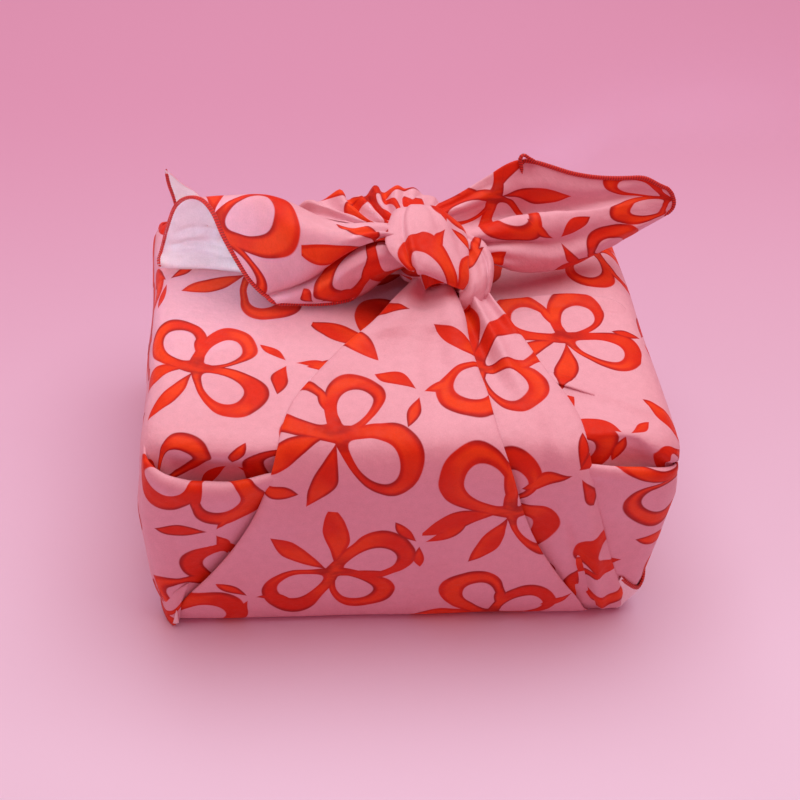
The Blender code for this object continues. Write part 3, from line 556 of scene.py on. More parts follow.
def panel(name, stations, lie, pleats, turn, shift, seed, fine):
    """Two sheets: the left part ends in a folded edge that laps over the right part."""
    out = outward(stations, lie)
    along = steps([2, 3, 4] + [6 if fine else 4] * (len(stations) - 5) + [4])
    table = spline([tuple(s) for s in stations], along)
    dense_out = spline(out, along)
    dense_out /= np.linalg.norm(dense_out, axis=1, keepdims=True)
    for part, profile, counts in (("left", left_profile, LEFT_COUNTS), ("right", right_profile, RIGHT_COUNTS)):
        rows = [[(x, s.y + oy * h, s.z + oz * h) for x, h in profile(s)] for s, (oy, oz) in zip(stations, out)]
        across = steps(counts if fine else [(n + 1) // 2 for n in counts])
        P = surface(rows, along, across)
        # the folded-under part doesn't take the pleats of the face
        fade = smooth(4.0, 6.0, across) * (1 - smooth(11.0, 12.0, across)) if part == "left" else smooth(0.8, 2.2, across) * (1 - smooth(5.6, 7.0, across))
        push = np.zeros(P.shape[:2])
        for p in pleats:
            share = (along - p.first) / (p.last - p.first)
            strength = smooth(-0.02, 0.0, share) if p.first < len(stations) - 3 else 1 - smooth(1.0, 1.25, -share)
            strength = strength * (1 - smooth(0.45, 1.05, share)) if p.end == 0 else smooth(-0.25, 0.15, share) * (1 - smooth(0.9, 1.2, share))
            tall = p.height + (p.end - p.height) * np.clip(share, 0, 1) if p.end else p.height * np.ones_like(share)
            centre = p.x_first + (p.x_last - p.x_first) * np.clip(share, -0.4, 1.2)
            width = p.width * (1 + 0.9 * np.clip(share, 0, 1)) if p.end == 0 else p.width * np.ones_like(share)
            push += (tall * strength)[:, None] * np.exp(-(((P[..., 0] - centre[:, None]) / width[:, None]) ** 2))
        push += (wander(P, seed, 0.00065, 0.05) + wander(P, seed + 40, 0.00016, 0.018)) * smooth(0.001, 0.003, table[:, 5])[:, None]
        push *= fade[None, :]
        if part == "left":
            push = push - 0.0040 * smooth(len(stations) - 6, len(stations) - 4, along)[:, None] * (1 - smooth(1.2, 3.4, across))[None, :]
        # near the floor the edges follow the bundle round its upright edges
        w, d, r = section_at(P[..., 2])
        low = (1 - smooth(0.045, 0.085, P[..., 2])) * (np.abs(P[..., 1]) > 0.080)
        reach = np.clip((np.abs(P[..., 0]) - (w - r)) / r, 0, 0.86)
        round_in = r * (1 - np.sqrt(1 - reach**2)) * low
        P[..., 1] += dense_out[:, 0:1] * push - lie * -1 * round_in
        P[..., 2] += dense_out[:, 1:2] * push
        v = arc(table[:, :2])
        u = P[..., 0].copy()
        if part == "left":
            low_part, high_part = across < 4, across > 12.4
            u[:, low_part] = 2 * table[:, 2:3] - P[..., 0][:, low_part]
            u[:, high_part] = 2 * table[:, 3:4] - P[..., 0][:, high_part]
        else:
            low_part = across > 7.5
            u[:, low_part] = 2 * table[:, 4:5] - P[..., 0][:, low_part]
        uv = np.stack([u, np.broadcast_to(v[:, None], u.shape)], axis=2)
        i, j = len(along) // 2, int(np.argmin(np.abs(across - (8.5 if part == "left" else 4))))
        face = P[P.shape[0] // 2, P.shape[1] // 2] + np.array([0.0, dense_out[i, 0], dense_out[i, 1]])
        sheet(f"{name}_{part}", P, face, uv, turn, shift if part == "left" else (shift[0] + 0.012, shift[1]))


# ================================================================ gussets
# The rolled fold's section: height from the fold, share of its stand-off, and how far in.
ROLL = [(-0.0140, 0.80, 0.0), (-0.0095, 0.97, 0.0), (-0.0055, 1.00, 0.0), (-0.0025, 0.90, 0.0), (-0.0006, 0.66, 0.0001), (0.0, 0.40, 0.0004), (-0.0010, 0.12, 0.0010), (-0.0040, -0.05, 0.0014), (-0.0110, -0.05, 0.0016)]


def gusset(name, seed):
    """Lies just inside the skin on the side, comes through it as it turns the edge, and ends in the rolled fold."""
    sx, sy = HANDS[name]
    last = FOLDS[name][-1].c
    many = 1.0 if sy < 0 else 0.6
    c = np.concatenate([np.linspace(-0.014, 0.0, 5), np.linspace(0.0012, 0.0216, int(18 * many)), np.linspace(0.0240, last, int(24 * many))])
    height, stand, pocket, span, bulge = fold_at(name, c)
    base = -0.0007 + 0.0016 * smooth(0.003, 0.011, c)
    size = np.clip(stand / 0.005, 0.30, 1.0)
    low = 0.0024
    first = height + ROLL[0][0] * size
    columns = []
    for t in np.linspace(0, 1, 15)[:-1]:
        z = low + (first - low) * t
        off = base + stand * 0.80 * t**2.4
        columns.append(outline(name, c, z, off))
    for dz, share, inward in ROLL:
        columns.append(outline(name, c, height + dz * size, base + stand * share - inward * np.clip(size * 1.6, 0, 1)))
    rows = np.stack(columns, axis=1)
    P = np.stack([surface_line(line) for line in rows])
    live = smooth(0.006, 0.020, c)
    n = normals(P)
    ref = n[P.shape[0] // 2, P.shape[1] // 3]
    n *= 1 if ref[1] * sy > 0 else -1
    P = P + n * (wander(P, seed, 0.0004, 0.05) * live[:, None])[..., None]
    P = draw_in(P) if name == "front_left" else P
    w, d, r = section_at(P[..., 2])
    u = sx * (w + TOP - P[..., 2])
    turn = int(round(P.shape[1] * 0.70))
    step = np.linalg.norm(np.diff(P[:, turn:], axis=1), axis=2)
    u[:, turn + 1 :] = u[:, [turn]] - sx * np.cumsum(step, axis=1)
    v = np.broadcast_to((sy * (0.0816 + c))[:, None], u.shape)
    middle = P[P.shape[0] // 2, P.shape[1] // 3]
    return sheet(f"gusset_{name}", P, middle + np.array([0, sy * 1.0, 0]), np.stack([u, v], axis=2), *SKIN_PRINT)


def surface_line(line):
    return spline(line, steps([1] * 13 + [2, 2, 3, 3, 3, 3, 3, 2, 2]))


# At the foot of the front right edge the cloth's own border turns out: a hem, and the reverse under it. c, height.
BORDER = [(-0.0060, 0.0232), (0.0000, 0.0225), (0.0050, 0.0203), (0.0076, 0.0174), (0.0108, 0.0188), (0.0160, 0.0235), (0.0195, 0.0270), (0.0220, 0.0296)]


def border():
    line = spline(BORDER, even(len(BORDER) - 1, 35))
    c, share = line[:, 0], np.linspace(0, 1, 12)
    low = 0.0016 + 1.5 * np.maximum(c - 0.0085, 0)
    columns = [outline("front_right", c, low + (line[:, 1] - low) * t, 0.0004 + (0.0009 + 0.0004 * t) * smooth(0.002, 0.009, c)) for t in share]
    P = np.stack(columns, axis=1)
    P = P + normals(P) * wander(P, 71, 0.00025, 0.02)[..., None]
    sheet("border", P, P[15, 7] - outline("front_right", np.array([0.008]), np.array([0.012]), 0.05)[0] * 0.5, None, 0.9, (0.33, 0.71))
    return P


# At the foot of the front left edge the panel's edge pulls a small tuck out of the side, with a wedge of it beyond.
TUCK = [
    [(-0.1146, -0.0835, 0.0130), (-0.1150, -0.0850, 0.0060), (-0.1135, -0.0880, 0.0006)],
    [(-0.1110, -0.0905, 0.0170), (-0.1120, -0.0916, 0.0085), (-0.1112, -0.0924, 0.0004)],
    [(-0.1073, -0.0930, 0.0221), (-0.1088, -0.0944, 0.0112), (-0.1090, -0.0950, 0.0006)],
    [(-0.1035, -0.0938, 0.0262), (-0.1062, -0.0952, 0.0140), (-0.1078, -0.0958, 0.0020)],
    [(-0.0994, -0.0938, 0.0298), (-0.1036, -0.0950, 0.0172), (-0.1062, -0.0958, 0.0040)],
]
WEDGE = [
    [(-0.1064, -0.0958, 0.0128), (-0.1066, -0.0959, 0.0127), (-0.1068, -0.0960, 0.0126)],
    [(-0.1064, -0.0963, 0.0088), (-0.1071, -0.0965, 0.0085), (-0.1078, -0.0963, 0.0082)],
    [(-0.1062, -0.0966, 0.0048), (-0.1074, -0.0968, 0.0045), (-0.1087, -0.0962, 0.0042)],
]


def tuck():
    P = surface(TUCK, steps([4, 4, 4, 4]), steps([6, 6]))
    sheet("tuck", P, P[8, 6] + np.array([-0.3, -1.0, 0.2]), None, 0.3, (0.400, 0.402))
    P = surface(WEDGE, steps([4, 4]), steps([3, 3]))
    sheet("wedge", P, P[4, 3] + np.array([0.0, 1.0, 0.0]), None, 0.0, (0.11, 0.21))


# ================================================================ free ends
# A free end is a fan of lines, each from inside the knot out to the cloth's edge.
Line = namedtuple("Line", "name steps points")
LEFT_END = [
    Line("front_low", 5, [(0.0030, 0.0060, 0.1425), (-0.0058, 0.0060, 0.1372), (-0.0200, 0.0045, 0.1245), (-0.0400, 0.0035, 0.1206), (-0.0600, 0.0030, 0.1216)]),
    Line("lower_front", 5, [(0.0005, -0.0010, 0.1490), (-0.0100, -0.0015, 0.1460), (-0.0245, -0.0010, 0.1370), (-0.0420, 0.0005, 0.1260), (-0.0612, 0.0026, 0.1224)]),
    Line("lower_roll", 5, [(0.0000, -0.0010, 0.1530), (-0.0105, -0.0015, 0.1535), (-0.0253, -0.0010, 0.1460), (-0.0430, 0.0004, 0.1315), (-0.0626, 0.0030, 0.1234)]),
    Line("lower_top", 4, [(-0.0005, 0.0010, 0.1560), (-0.0108, 0.0022, 0.1570), (-0.0250, 0.0042, 0.1490), (-0.0440, 0.0040, 0.1332), (-0.0642, 0.0036, 0.1246)]),
    Line("valley", 3, [(-0.0008, 0.0040, 0.1570), (-0.0110, 0.0062, 0.1570), (-0.0245, 0.0098, 0.1485), (-0.0440, 0.0080, 0.1330), (-0.0650, 0.0044, 0.1254)]),
    Line("under_lip", 3, [(-0.0006, 0.0030, 0.1585), (-0.0112, 0.0045, 0.1588), (-0.0243, 0.0068, 0.1512), (-0.0448, 0.0054, 0.1350), (-0.0657, 0.0044, 0.1259)]),
    Line("lip", 6, [(-0.0005, 0.0015, 0.1595), (-0.0112, 0.0026, 0.1602), (-0.0240, 0.0036, 0.1532), (-0.0450, 0.0024, 0.1376), (-0.0668, 0.0044, 0.1268)]),
    Line("front_mid", 7, [(0.0000, 0.0035, 0.1610), (-0.0112, 0.0042, 0.1626), (-0.0265, 0.0040, 0.1590), (-0.0500, 0.0026, 0.1500), (-0.0735, 0.0060, 0.1343)]),
    Line("front_high", 7, [(0.0000, 0.0080, 0.1615), (-0.0112, 0.0085, 0.1630), (-0.0285, 0.0085, 0.1614), (-0.0560, 0.0074, 0.1604), (-0.0800, 0.0092, 0.1448)]),
    Line("shoulder", 7, [(0.0000, 0.0130, 0.1600), (-0.0112, 0.0132, 0.1610), (-0.0305, 0.0145, 0.1600), (-0.0610, 0.0150, 0.1668), (-0.0858, 0.0148, 0.1540)]),
    Line("crown", 6, [(0.0000, 0.0170, 0.1570), (-0.0114, 0.0172, 0.1590), (-0.0325, 0.0205, 0.1592), (-0.0640, 0.0235, 0.1697), (-0.0907, 0.0220, 0.1626)]),
    Line("top", 5, [(0.0000, 0.0210, 0.1520), (-0.0120, 0.0222, 0.1540), (-0.0340, 0.0270, 0.1550), (-0.0655, 0.0300, 0.1672), (-0.0960, 0.0285, 0.1650)]),
    Line("back_top", 6, [(0.0000, 0.0225, 0.1490), (-0.0122, 0.0245, 0.1510), (-0.0345, 0.0300, 0.1515), (-0.0675, 0.0335, 0.1620), (-0.1025, 0.0335, 0.1630)]),
    Line("back_high", 8, [(0.0000, 0.0235, 0.1460), (-0.0125, 0.0262, 0.1470), (-0.0350, 0.0325, 0.1460), (-0.0690, 0.0362, 0.1560), (-0.1084, 0.0378, 0.1556)]),
    Line("back_mid", 11, [(0.0000, 0.0240, 0.1420), (-0.0128, 0.0270, 0.1420), (-0.0352, 0.0330, 0.1400), (-0.0705, 0.0380, 0.1440), (-0.1128, 0.0396, 0.1425)]),
    Line("back_low", 10, [(0.0000, 0.0230, 0.1370), (-0.0130, 0.0262, 0.1365), (-0.0355, 0.0325, 0.1320), (-0.0718, 0.0387, 0.1315), (-0.1157, 0.0404, 0.1308)]),
    Line("heel", 5, [(0.0005, 0.0200, 0.1330), (-0.0130, 0.0235, 0.1310), (-0.0358, 0.0300, 0.1255), (-0.0724, 0.0366, 0.1248), (-0.1170, 0.0384, 0.1266)]),
    Line("shelf", 3, [(0.0007, 0.0180, 0.1322), (-0.0130, 0.0210, 0.1300), (-0.0362, 0.0262, 0.1236), (-0.0732, 0.0333, 0.1236), (-0.1178, 0.0354, 0.1254)]),
    Line("lower_lip", 4, [(0.0008, 0.0165, 0.1315), (-0.0130, 0.0190, 0.1293), (-0.0365, 0.0235, 0.1222), (-0.0738, 0.0312, 0.1224), (-0.1177, 0.0334, 0.1237)]),
    Line("floor", 0, [(0.0010, 0.0160, 0.1305), (-0.0130, 0.0185, 0.1280), (-0.0365, 0.0240, 0.1206), (-0.0740, 0.0325, 0.1202), (-0.1165, 0.0352, 0.1206)]),
]
RIGHT_END = [
    Line("hem_top", 5, [(0.0060, 0.0300, 0.1560), (0.0253, 0.0360, 0.1616), (0.0424, 0.0410, 0.1701), (0.0594, 0.0450, 0.1779), (0.0883, 0.0470, 0.1699), (0.1173, 0.0490, 0.1647), (0.1377, 0.0490, 0.1595)]),
    Line("upper_high", 5, [(0.0100, 0.0270, 0.1565), (0.0280, 0.0335, 0.1602), (0.0460, 0.0390, 0.1668), (0.0622, 0.0428, 0.1718), (0.0898, 0.0452, 0.1660), (0.1180, 0.0482, 0.1628), (0.1393, 0.0488, 0.1580)]),
    Line("upper", 6, [(0.0140, 0.0240, 0.1560), (0.0310, 0.0310, 0.1574), (0.0501, 0.0370, 0.1623), (0.0651, 0.0405, 0.1650), (0.0912, 0.0434, 0.1614), (0.1186, 0.0472, 0.1605), (0.1408, 0.0485, 0.1562)]),
    Line("valley_back", 4, [(0.0180, 0.0250, 0.1530), (0.0335, 0.0320, 0.1530), (0.0540, 0.0385, 0.1560), (0.0700, 0.0420, 0.1572), (0.0925, 0.0440, 0.1560), (0.1195, 0.0472, 0.1572), (0.1416, 0.0484, 0.1546)]),
    Line("valley", 3, [(0.0196, 0.0240, 0.1505), (0.0341, 0.0305, 0.1502), (0.0556, 0.0386, 0.1492), (0.0735, 0.0418, 0.1494), (0.0932, 0.0432, 0.1520), (0.1202, 0.0466, 0.1552), (0.1422, 0.0482, 0.1535)]),
    Line("behind_roll", 4, [(0.0208, 0.0205, 0.1520), (0.0345, 0.0250, 0.1512), (0.0556, 0.0316, 0.1518), (0.0745, 0.0352, 0.1524), (0.0937, 0.0388, 0.1536), (0.1204, 0.0446, 0.1545), (0.1425, 0.0479, 0.1522)]),
    Line("roll", 4, [(0.0216, 0.0180, 0.1541), (0.0348, 0.0220, 0.1533), (0.0554, 0.0258, 0.1562), (0.0749, 0.0298, 0.1570), (0.0940, 0.0360, 0.1550), (0.1205, 0.0430, 0.1538), (0.1426, 0.0475, 0.1508)]),
    Line("roll_front", 4, [(0.0236, 0.0140, 0.1534), (0.0366, 0.0158, 0.1532), (0.0565, 0.0205, 0.1521), (0.0762, 0.0248, 0.1507), (0.0961, 0.0320, 0.1498), (0.1217, 0.0410, 0.1503), (0.1420, 0.0470, 0.1481)]),
    Line("crease", 4, [(0.0245, 0.0130, 0.1516), (0.0394, 0.0168, 0.1486), (0.0592, 0.0224, 0.1458), (0.0793, 0.0266, 0.1428), (0.0996, 0.0320, 0.1432), (0.1236, 0.0400, 0.1468), (0.1402, 0.0465, 0.1460)]),
    Line("belly", 6, [(0.0260, 0.0100, 0.1492), (0.0416, 0.0120, 0.1466), (0.0604, 0.0160, 0.1419), (0.0808, 0.0206, 0.1380), (0.1025, 0.0295, 0.1388), (0.1255, 0.0388, 0.1440), (0.1383, 0.0460, 0.1445)]),
    Line("belly_low", 6, [(0.0270, 0.0095, 0.1455), (0.0428, 0.0115, 0.1428), (0.0606, 0.0155, 0.1358), (0.0822, 0.0215, 0.1318), (0.1050, 0.0325, 0.1343), (0.1270, 0.0402, 0.1416), (0.1376, 0.0460, 0.1438)]),
    Line("keel", 5, [(0.0281, 0.0110, 0.1420), (0.0440, 0.0130, 0.1392), (0.0611, 0.0185, 0.1300), (0.0841, 0.0265, 0.1265), (0.1074, 0.0365, 0.1305), (0.1279, 0.0425, 0.1393), (0.1369, 0.0462, 0.1433)]),
    Line("back_low", 6, [(0.0290, 0.0180, 0.1380), (0.0450, 0.0240, 0.1350), (0.0630, 0.0310, 0.1300), (0.0850, 0.0390, 0.1285), (0.1060, 0.0440, 0.1330), (0.1260, 0.0480, 0.1410), (0.1365, 0.0490, 0.1450)]),
    Line("back_mid", 7, [(0.0250, 0.0260, 0.1440), (0.0430, 0.0340, 0.1450), (0.0610, 0.0420, 0.1440), (0.0860, 0.0470, 0.1430), (0.1090, 0.0500, 0.1440), (0.1280, 0.0515, 0.1480), (0.1385, 0.0505, 0.1510)]),
    Line("back_high", 0, [(0.0150, 0.0310, 0.1520), (0.0390, 0.0400, 0.1560), (0.0590, 0.0458, 0.1650), (0.0880, 0.0492, 0.1600), (0.1150, 0.0508, 0.1570), (0.1310, 0.0515, 0.1560), (0.1395, 0.0505, 0.1560)]),
]
# A gather runs out of the knot along a fan and dies away: where round the fan, how wide, how high, how far out.
Gather = namedtuple("Gather", "at width height reach")
LEFT_GATHERS = [
    Gather(1.0, 0.30, 0.0013, 2.2), Gather(1.6, 0.22, -0.0014, 2.4), Gather(2.9, 0.22, 0.0008, 1.8),
    Gather(6.5, 0.22, -0.0013, 2.2), Gather(7.0, 0.26, 0.0016, 2.6), Gather(7.55, 0.22, -0.0015, 2.3), Gather(8.2, 0.30, 0.0013, 2.5),
    Gather(8.9, 0.25, -0.0012, 2.0), Gather(9.6, 0.35, 0.0012, 2.4), Gather(12.4, 0.6, 0.0014, 3.2), Gather(14.2, 0.6, -0.0012, 3.0),
]
RIGHT_GATHERS = [
    Gather(0.9, 0.25, -0.0012, 2.6), Gather(1.5, 0.35, 0.0014, 3.2), Gather(2.3, 0.25, -0.0012, 2.8), Gather(6.5, 0.22, 0.0006, 2.5),
    Gather(8.0, 0.30, -0.0014, 3.2), Gather(8.7, 0.30, 0.0014, 3.0), Gather(9.4, 0.28, -0.0015, 2.6), Gather(10.1, 0.35, 0.0014, 2.6), Gather(10.8, 0.3, -0.0010, 2.4),
]


def fan(lines, along, gathers, toward, seed):
    """The fan's surface, its normals on the printed side, and its parameters."""
    across = steps([line.steps for line in lines[:-1]])
    P = surface([line.points for line in lines], across, along)
    n = normals(P)
    i, j = int(np.argmin(np.abs(across - toward))), len(along) // 2
    if n[i, j, 1] > 0:
        n = -n
    push = np.zeros(P.shape[:2])
    for g in gathers:
        push += g.height * bump(across, g.at, g.width)[:, None] * (1 - smooth(0.7, g.reach, along))[None, :] * smooth(0.0, 0.6, along)[None, :]
    slack = wander(P, seed, 0.0006, 0.04) + wander(P, seed + 9, 0.00018, 0.014)
    push += slack * smooth(0.6, 2.0, along)[None, :] * (1 - smooth(along[-1] - 0.5, along[-1], along))[None, :]
    P = P + n * push[..., None]
    return P, n, across


def left_end():
    along = steps([7, 12, 17, 20])
    P, n, across = fan(LEFT_END, along, LEFT_GATHERS, 7.5, 21)
    # slack wrinkles low inside the mouth
    inside = smooth(13.4, 14.4, across)[:, None] * smooth(2.4, 3.1, along)[None, :] * (1 - smooth(3.7, 3.95, along))[None, :]
    drift = across[:, None] + 0.35 * np.sin(2.1 * along[None, :]) + 0.12 * np.sin(9.0 * along[None, :])
    P = P + n * (inside * (0.0011 * bump(drift, 14.6, 0.16) - 0.0012 * bump(drift, 14.95, 0.15) + 0.0014 * bump(drift, 15.35, 0.16) - 0.0010 * bump(drift, 15.75, 0.2)))[..., None]
    i, j = P.shape[0] // 2, P.shape[1] // 2
    sheet("left_end", P, P[i, j] + n[i, j], None, 1.1, (0.52, 0.13), 0.0007)
    return P, n, across, along


# The standing corner of the cloth behind the left end's mouth, reverse side out; its left edge is hemmed.
CORNER_POINT = [
    [(-0.1085, 0.0432, 0.1400), (-0.1050, 0.0425, 0.1410), (-0.1000, 0.0415, 0.1420), (-0.0930, 0.0400, 0.1420)],
    [(-0.1086, 0.0438, 0.1510), (-0.1060, 0.0432, 0.1520), (-0.1015, 0.0424, 0.1535), (-0.0940, 0.0404, 0.1545)],
    [(-0.1100, 0.0450, 0.1567), (-0.1072, 0.0450, 0.1582), (-0.1040, 0.0442, 0.1596), (-0.0980, 0.0432, 0.1592)],
    [(-0.1117, 0.0458, 0.1625), (-0.1100, 0.0458, 0.1634), (-0.1080, 0.0454, 0.1642), (-0.1050, 0.0446, 0.1640)],
    [(-0.1128, 0.0462, 0.1706), (-0.1124, 0.0462, 0.1704), (-0.1119, 0.0461, 0.1702), (-0.1112, 0.0459, 0.1698)],
]


def right_end():
    along = steps([5, 7, 8, 12, 12, 10])
    P, n, across = fan(RIGHT_END, along, RIGHT_GATHERS, 9.0, 33)
    # the root of the lower part goes in behind the knot's rim
    P = P - EYEWARD * (0.0050 * smooth(4.5, 6.5, across)[:, None] * (1 - smooth(0.6, 1.7, along))[None, :])[..., None]
    # the upper edge dips and rises again before the tip
    P[..., 2] += ((1 - smooth(1.0, 4.5, across))[:, None] * (0.0030 * bump(along, 5.35, 0.42) - 0.0007 * bump(along, 4.35, 0.45))[None, :])
    # a small dart of slack in the shade of the upper side
    P = P - n * (0.0022 * bump(across, 3.0, 0.5)[:, None] * bump(along, 2.35, 0.28)[None, :])[..., None]
    i, j = P.shape[0] // 2, P.shape[1] // 2
    sheet("right_end", P, P[i, j] + n[i, j], None, -0.6, (0.18, 0.57), 0.0006)
    return P, n, across, along


# ================================================================ knot
# The band over the front of the knot: rows from behind, over the top and down to its lower edge, which turns under.
BAND = [
    [(0.0040, 0.0360, 0.1480), (0.0060, 0.0345, 0.1500), (0.0090, 0.0340, 0.1520), (0.0150, 0.0340, 0.1535), (0.0235, 0.0330, 0.1510), (0.0290, 0.0300, 0.1460), (0.0270, 0.0280, 0.1420)],
    [(0.0010, 0.0260, 0.1550), (-0.0025, 0.0270, 0.1600), (0.0035, 0.0275, 0.1628), (0.0145, 0.0270, 0.1635), (0.0255, 0.0265, 0.1570), (0.0323, 0.0240, 0.1500), (0.0300, 0.0220, 0.1450)],
    [(-0.0010, 0.0160, 0.1570), (-0.0069, 0.0140, 0.1622), (0.0003, 0.0170, 0.1658), (0.0136, 0.0190, 0.1664), (0.0263, 0.0185, 0.1590), (0.0326, 0.0165, 0.1515), (0.0300, 0.0150, 0.1460)],
    [(-0.0020, 0.0060, 0.1570), (-0.0090, 0.0040, 0.1612), (-0.0002, 0.0038, 0.1638), (0.0129, 0.0055, 0.1630), (0.0256, 0.0070, 0.1562), (0.0325, 0.0078, 0.1498), (0.0300, 0.0070, 0.1440)],
    [(-0.0020, -0.0010, 0.1560), (-0.0081, -0.0040, 0.1592), (0.0010, -0.0056, 0.1606), (0.0131, -0.0062, 0.1582), (0.0260, -0.0050, 0.1528), (0.0314, -0.0030, 0.1478), (0.0290, -0.0020, 0.1430)],
    [(0.0000, -0.0060, 0.1545), (-0.0046, -0.0088, 0.1570), (0.0022, -0.0104, 0.1572), (0.0142, -0.0118, 0.1542), (0.0263, -0.0106, 0.1482), (0.0309, -0.0078, 0.1433), (0.0285, -0.0060, 0.1395)],
    [(0.0030, -0.0090, 0.1530), (-0.0005, -0.0110, 0.1548), (0.0036, -0.0124, 0.1546), (0.0147, -0.0132, 0.1504), (0.0253, -0.0122, 0.1446), (0.0294, -0.0094, 0.1408), (0.0275, -0.0075, 0.1375)],
    [(0.0045, -0.0085, 0.1508), (0.0015, -0.0095, 0.1520), (0.0048, -0.0108, 0.1518), (0.0148, -0.0114, 0.1476), (0.0245, -0.0104, 0.1420), (0.0282, -0.0080, 0.1384), (0.0265, -0.0065, 0.1360)],
    [(0.0060, 0.0010, 0.1490), (0.0050, 0.0010, 0.1495), (0.0070, 0.0005, 0.1490), (0.0150, 0.0000, 0.1460), (0.0230, 0.0005, 0.1405), (0.0260, 0.0020, 0.1370), (0.0250, 0.0030, 0.1350)],
]
# The narrow turned band at its right: rows from the top down; across, from under the front band over the lip.
RIM = [
    [(0.0250, 0.0140, 0.1450), (0.0285, 0.0185, 0.1480), (0.0310, 0.0225, 0.1492), (0.0339, 0.0250, 0.1497), (0.0362, 0.0275, 0.1470), (0.0372, 0.0300, 0.1420)],
    [(0.0270, 0.0070, 0.1410), (0.0325, 0.0110, 0.1440), (0.0372, 0.0172, 0.1462), (0.0402, 0.0200, 0.1466), (0.0426, 0.0222, 0.1435), (0.0434, 0.0245, 0.1380)],
    [(0.0275, 0.0010, 0.1370), (0.0342, 0.0040, 0.1405), (0.0402, 0.0110, 0.1424), (0.0432, 0.0140, 0.1430), (0.0456, 0.0165, 0.1395), (0.0460, 0.0190, 0.1340)],
    [(0.0275, -0.0040, 0.1340), (0.0345, -0.0030, 0.1375), (0.0407, 0.0030, 0.1394), (0.0437, 0.0060, 0.1403), (0.0458, 0.0090, 0.1370), (0.0462, 0.0125, 0.1310)],
    [(0.0270, -0.0080, 0.1310), (0.0335, -0.0080, 0.1335), (0.0398, -0.0028, 0.1348), (0.0429, 0.0000, 0.1358), (0.0446, 0.0030, 0.1330), (0.0450, 0.0070, 0.1270)],
    [(0.0260, -0.0090, 0.1270), (0.0320, -0.0100, 0.1285), (0.0380, -0.0068, 0.1302), (0.0410, -0.0046, 0.1314), (0.0424, -0.0020, 0.1290), (0.0425, 0.0020, 0.1240)],
    [(0.0250, -0.0060, 0.1230), (0.0310, -0.0070, 0.1240), (0.0360, -0.0050, 0.1250), (0.0388, -0.0035, 0.1262), (0.0400, -0.0010, 0.1240), (0.0400, 0.0030, 0.1210)],
]
# Behind the knot the back panel's gathers stand up as pleats: each is its crest, from the knot outwards, and how deep
# the valley on its right goes and how softly it starts. The last point is down on the bundle's back.
Pleated = namedtuple("Pleated", "depth soft points")
CRESTS = [
    Pleated(0.0020, 0.0, [(-0.0060, 0.0150, 0.1530), (-0.0168, 0.0240, 0.1520), (-0.0290, 0.0330, 0.1500), (-0.0420, 0.0420, 0.1460), (-0.0560, 0.0500, 0.1360), (-0.0620, 0.0540, 0.1260)]),
    Pleated(0.0046, 0.2, [(-0.0060, 0.0180, 0.1570), (-0.0168, 0.0260, 0.1548), (-0.0273, 0.0360, 0.1526), (-0.0368, 0.0440, 0.1518), (-0.0449, 0.0500, 0.1501), (-0.0500, 0.0560, 0.1370)]),
    Pleated(0.0062, 0.0, [(-0.0058, 0.0190, 0.1569), (-0.0142, 0.0280, 0.1541), (-0.0204, 0.0370, 0.1535), (-0.0250, 0.0460, 0.1530), (-0.0275, 0.0555, 0.1535), (-0.0290, 0.0600, 0.1380)]),
    Pleated(0.0040, 0.4, [(-0.0030, 0.0220, 0.1560), (-0.0081, 0.0300, 0.1534), (-0.0113, 0.0390, 0.1518), (-0.0150, 0.0480, 0.1508), (-0.0185, 0.0560, 0.1492), (-0.0200, 0.0620, 0.1360)]),
    Pleated(0.0058, 0.3, [(-0.0009, 0.0250, 0.1568), (-0.0049, 0.0340, 0.1542), (-0.0077, 0.0430, 0.1537), (-0.0092, 0.0520, 0.1538), (-0.0100, 0.0590, 0.1534), (-0.0105, 0.0640, 0.1370)]),
    Pleated(0.0018, 1.0, [(0.0040, 0.0270, 0.1572), (0.0008, 0.0370, 0.1545), (-0.0004, 0.0470, 0.1530), (0.0006, 0.0560, 0.1526), (0.0018, 0.0630, 0.1512), (0.0020, 0.0680, 0.1360)]),
    Pleated(0.0024, 1.0, [(0.0105, 0.0290, 0.1562), (0.0086, 0.0380, 0.1537), (0.0080, 0.0470, 0.1520), (0.0092, 0.0560, 0.1512), (0.0105, 0.0630, 0.1498), (0.0110, 0.0680, 0.1350)]),
    Pleated(0.0042, 0.8, [(0.0190, 0.0285, 0.1545), (0.0172, 0.0360, 0.1530), (0.0168, 0.0440, 0.1512), (0.0182, 0.0530, 0.1488), (0.0200, 0.0600, 0.1466), (0.0210, 0.0650, 0.1330)]),
    Pleated(0.0030, 0.6, [(0.0262, 0.0275, 0.1520), (0.0250, 0.0335, 0.1518), (0.0250, 0.0400, 0.1506), (0.0275, 0.0480, 0.1486), (0.0310, 0.0555, 0.1464), (0.0330, 0.0600, 0.1320)]),
    Pleated(0.0030, 0.0, [(0.0310, 0.0260, 0.1500), (0.0330, 0.0310, 0.1500), (0.0350, 0.0370, 0.1480), (0.0400, 0.0440, 0.1440), (0.0450, 0.0500, 0.1390), (0.0480, 0.0540, 0.1280)]),
]


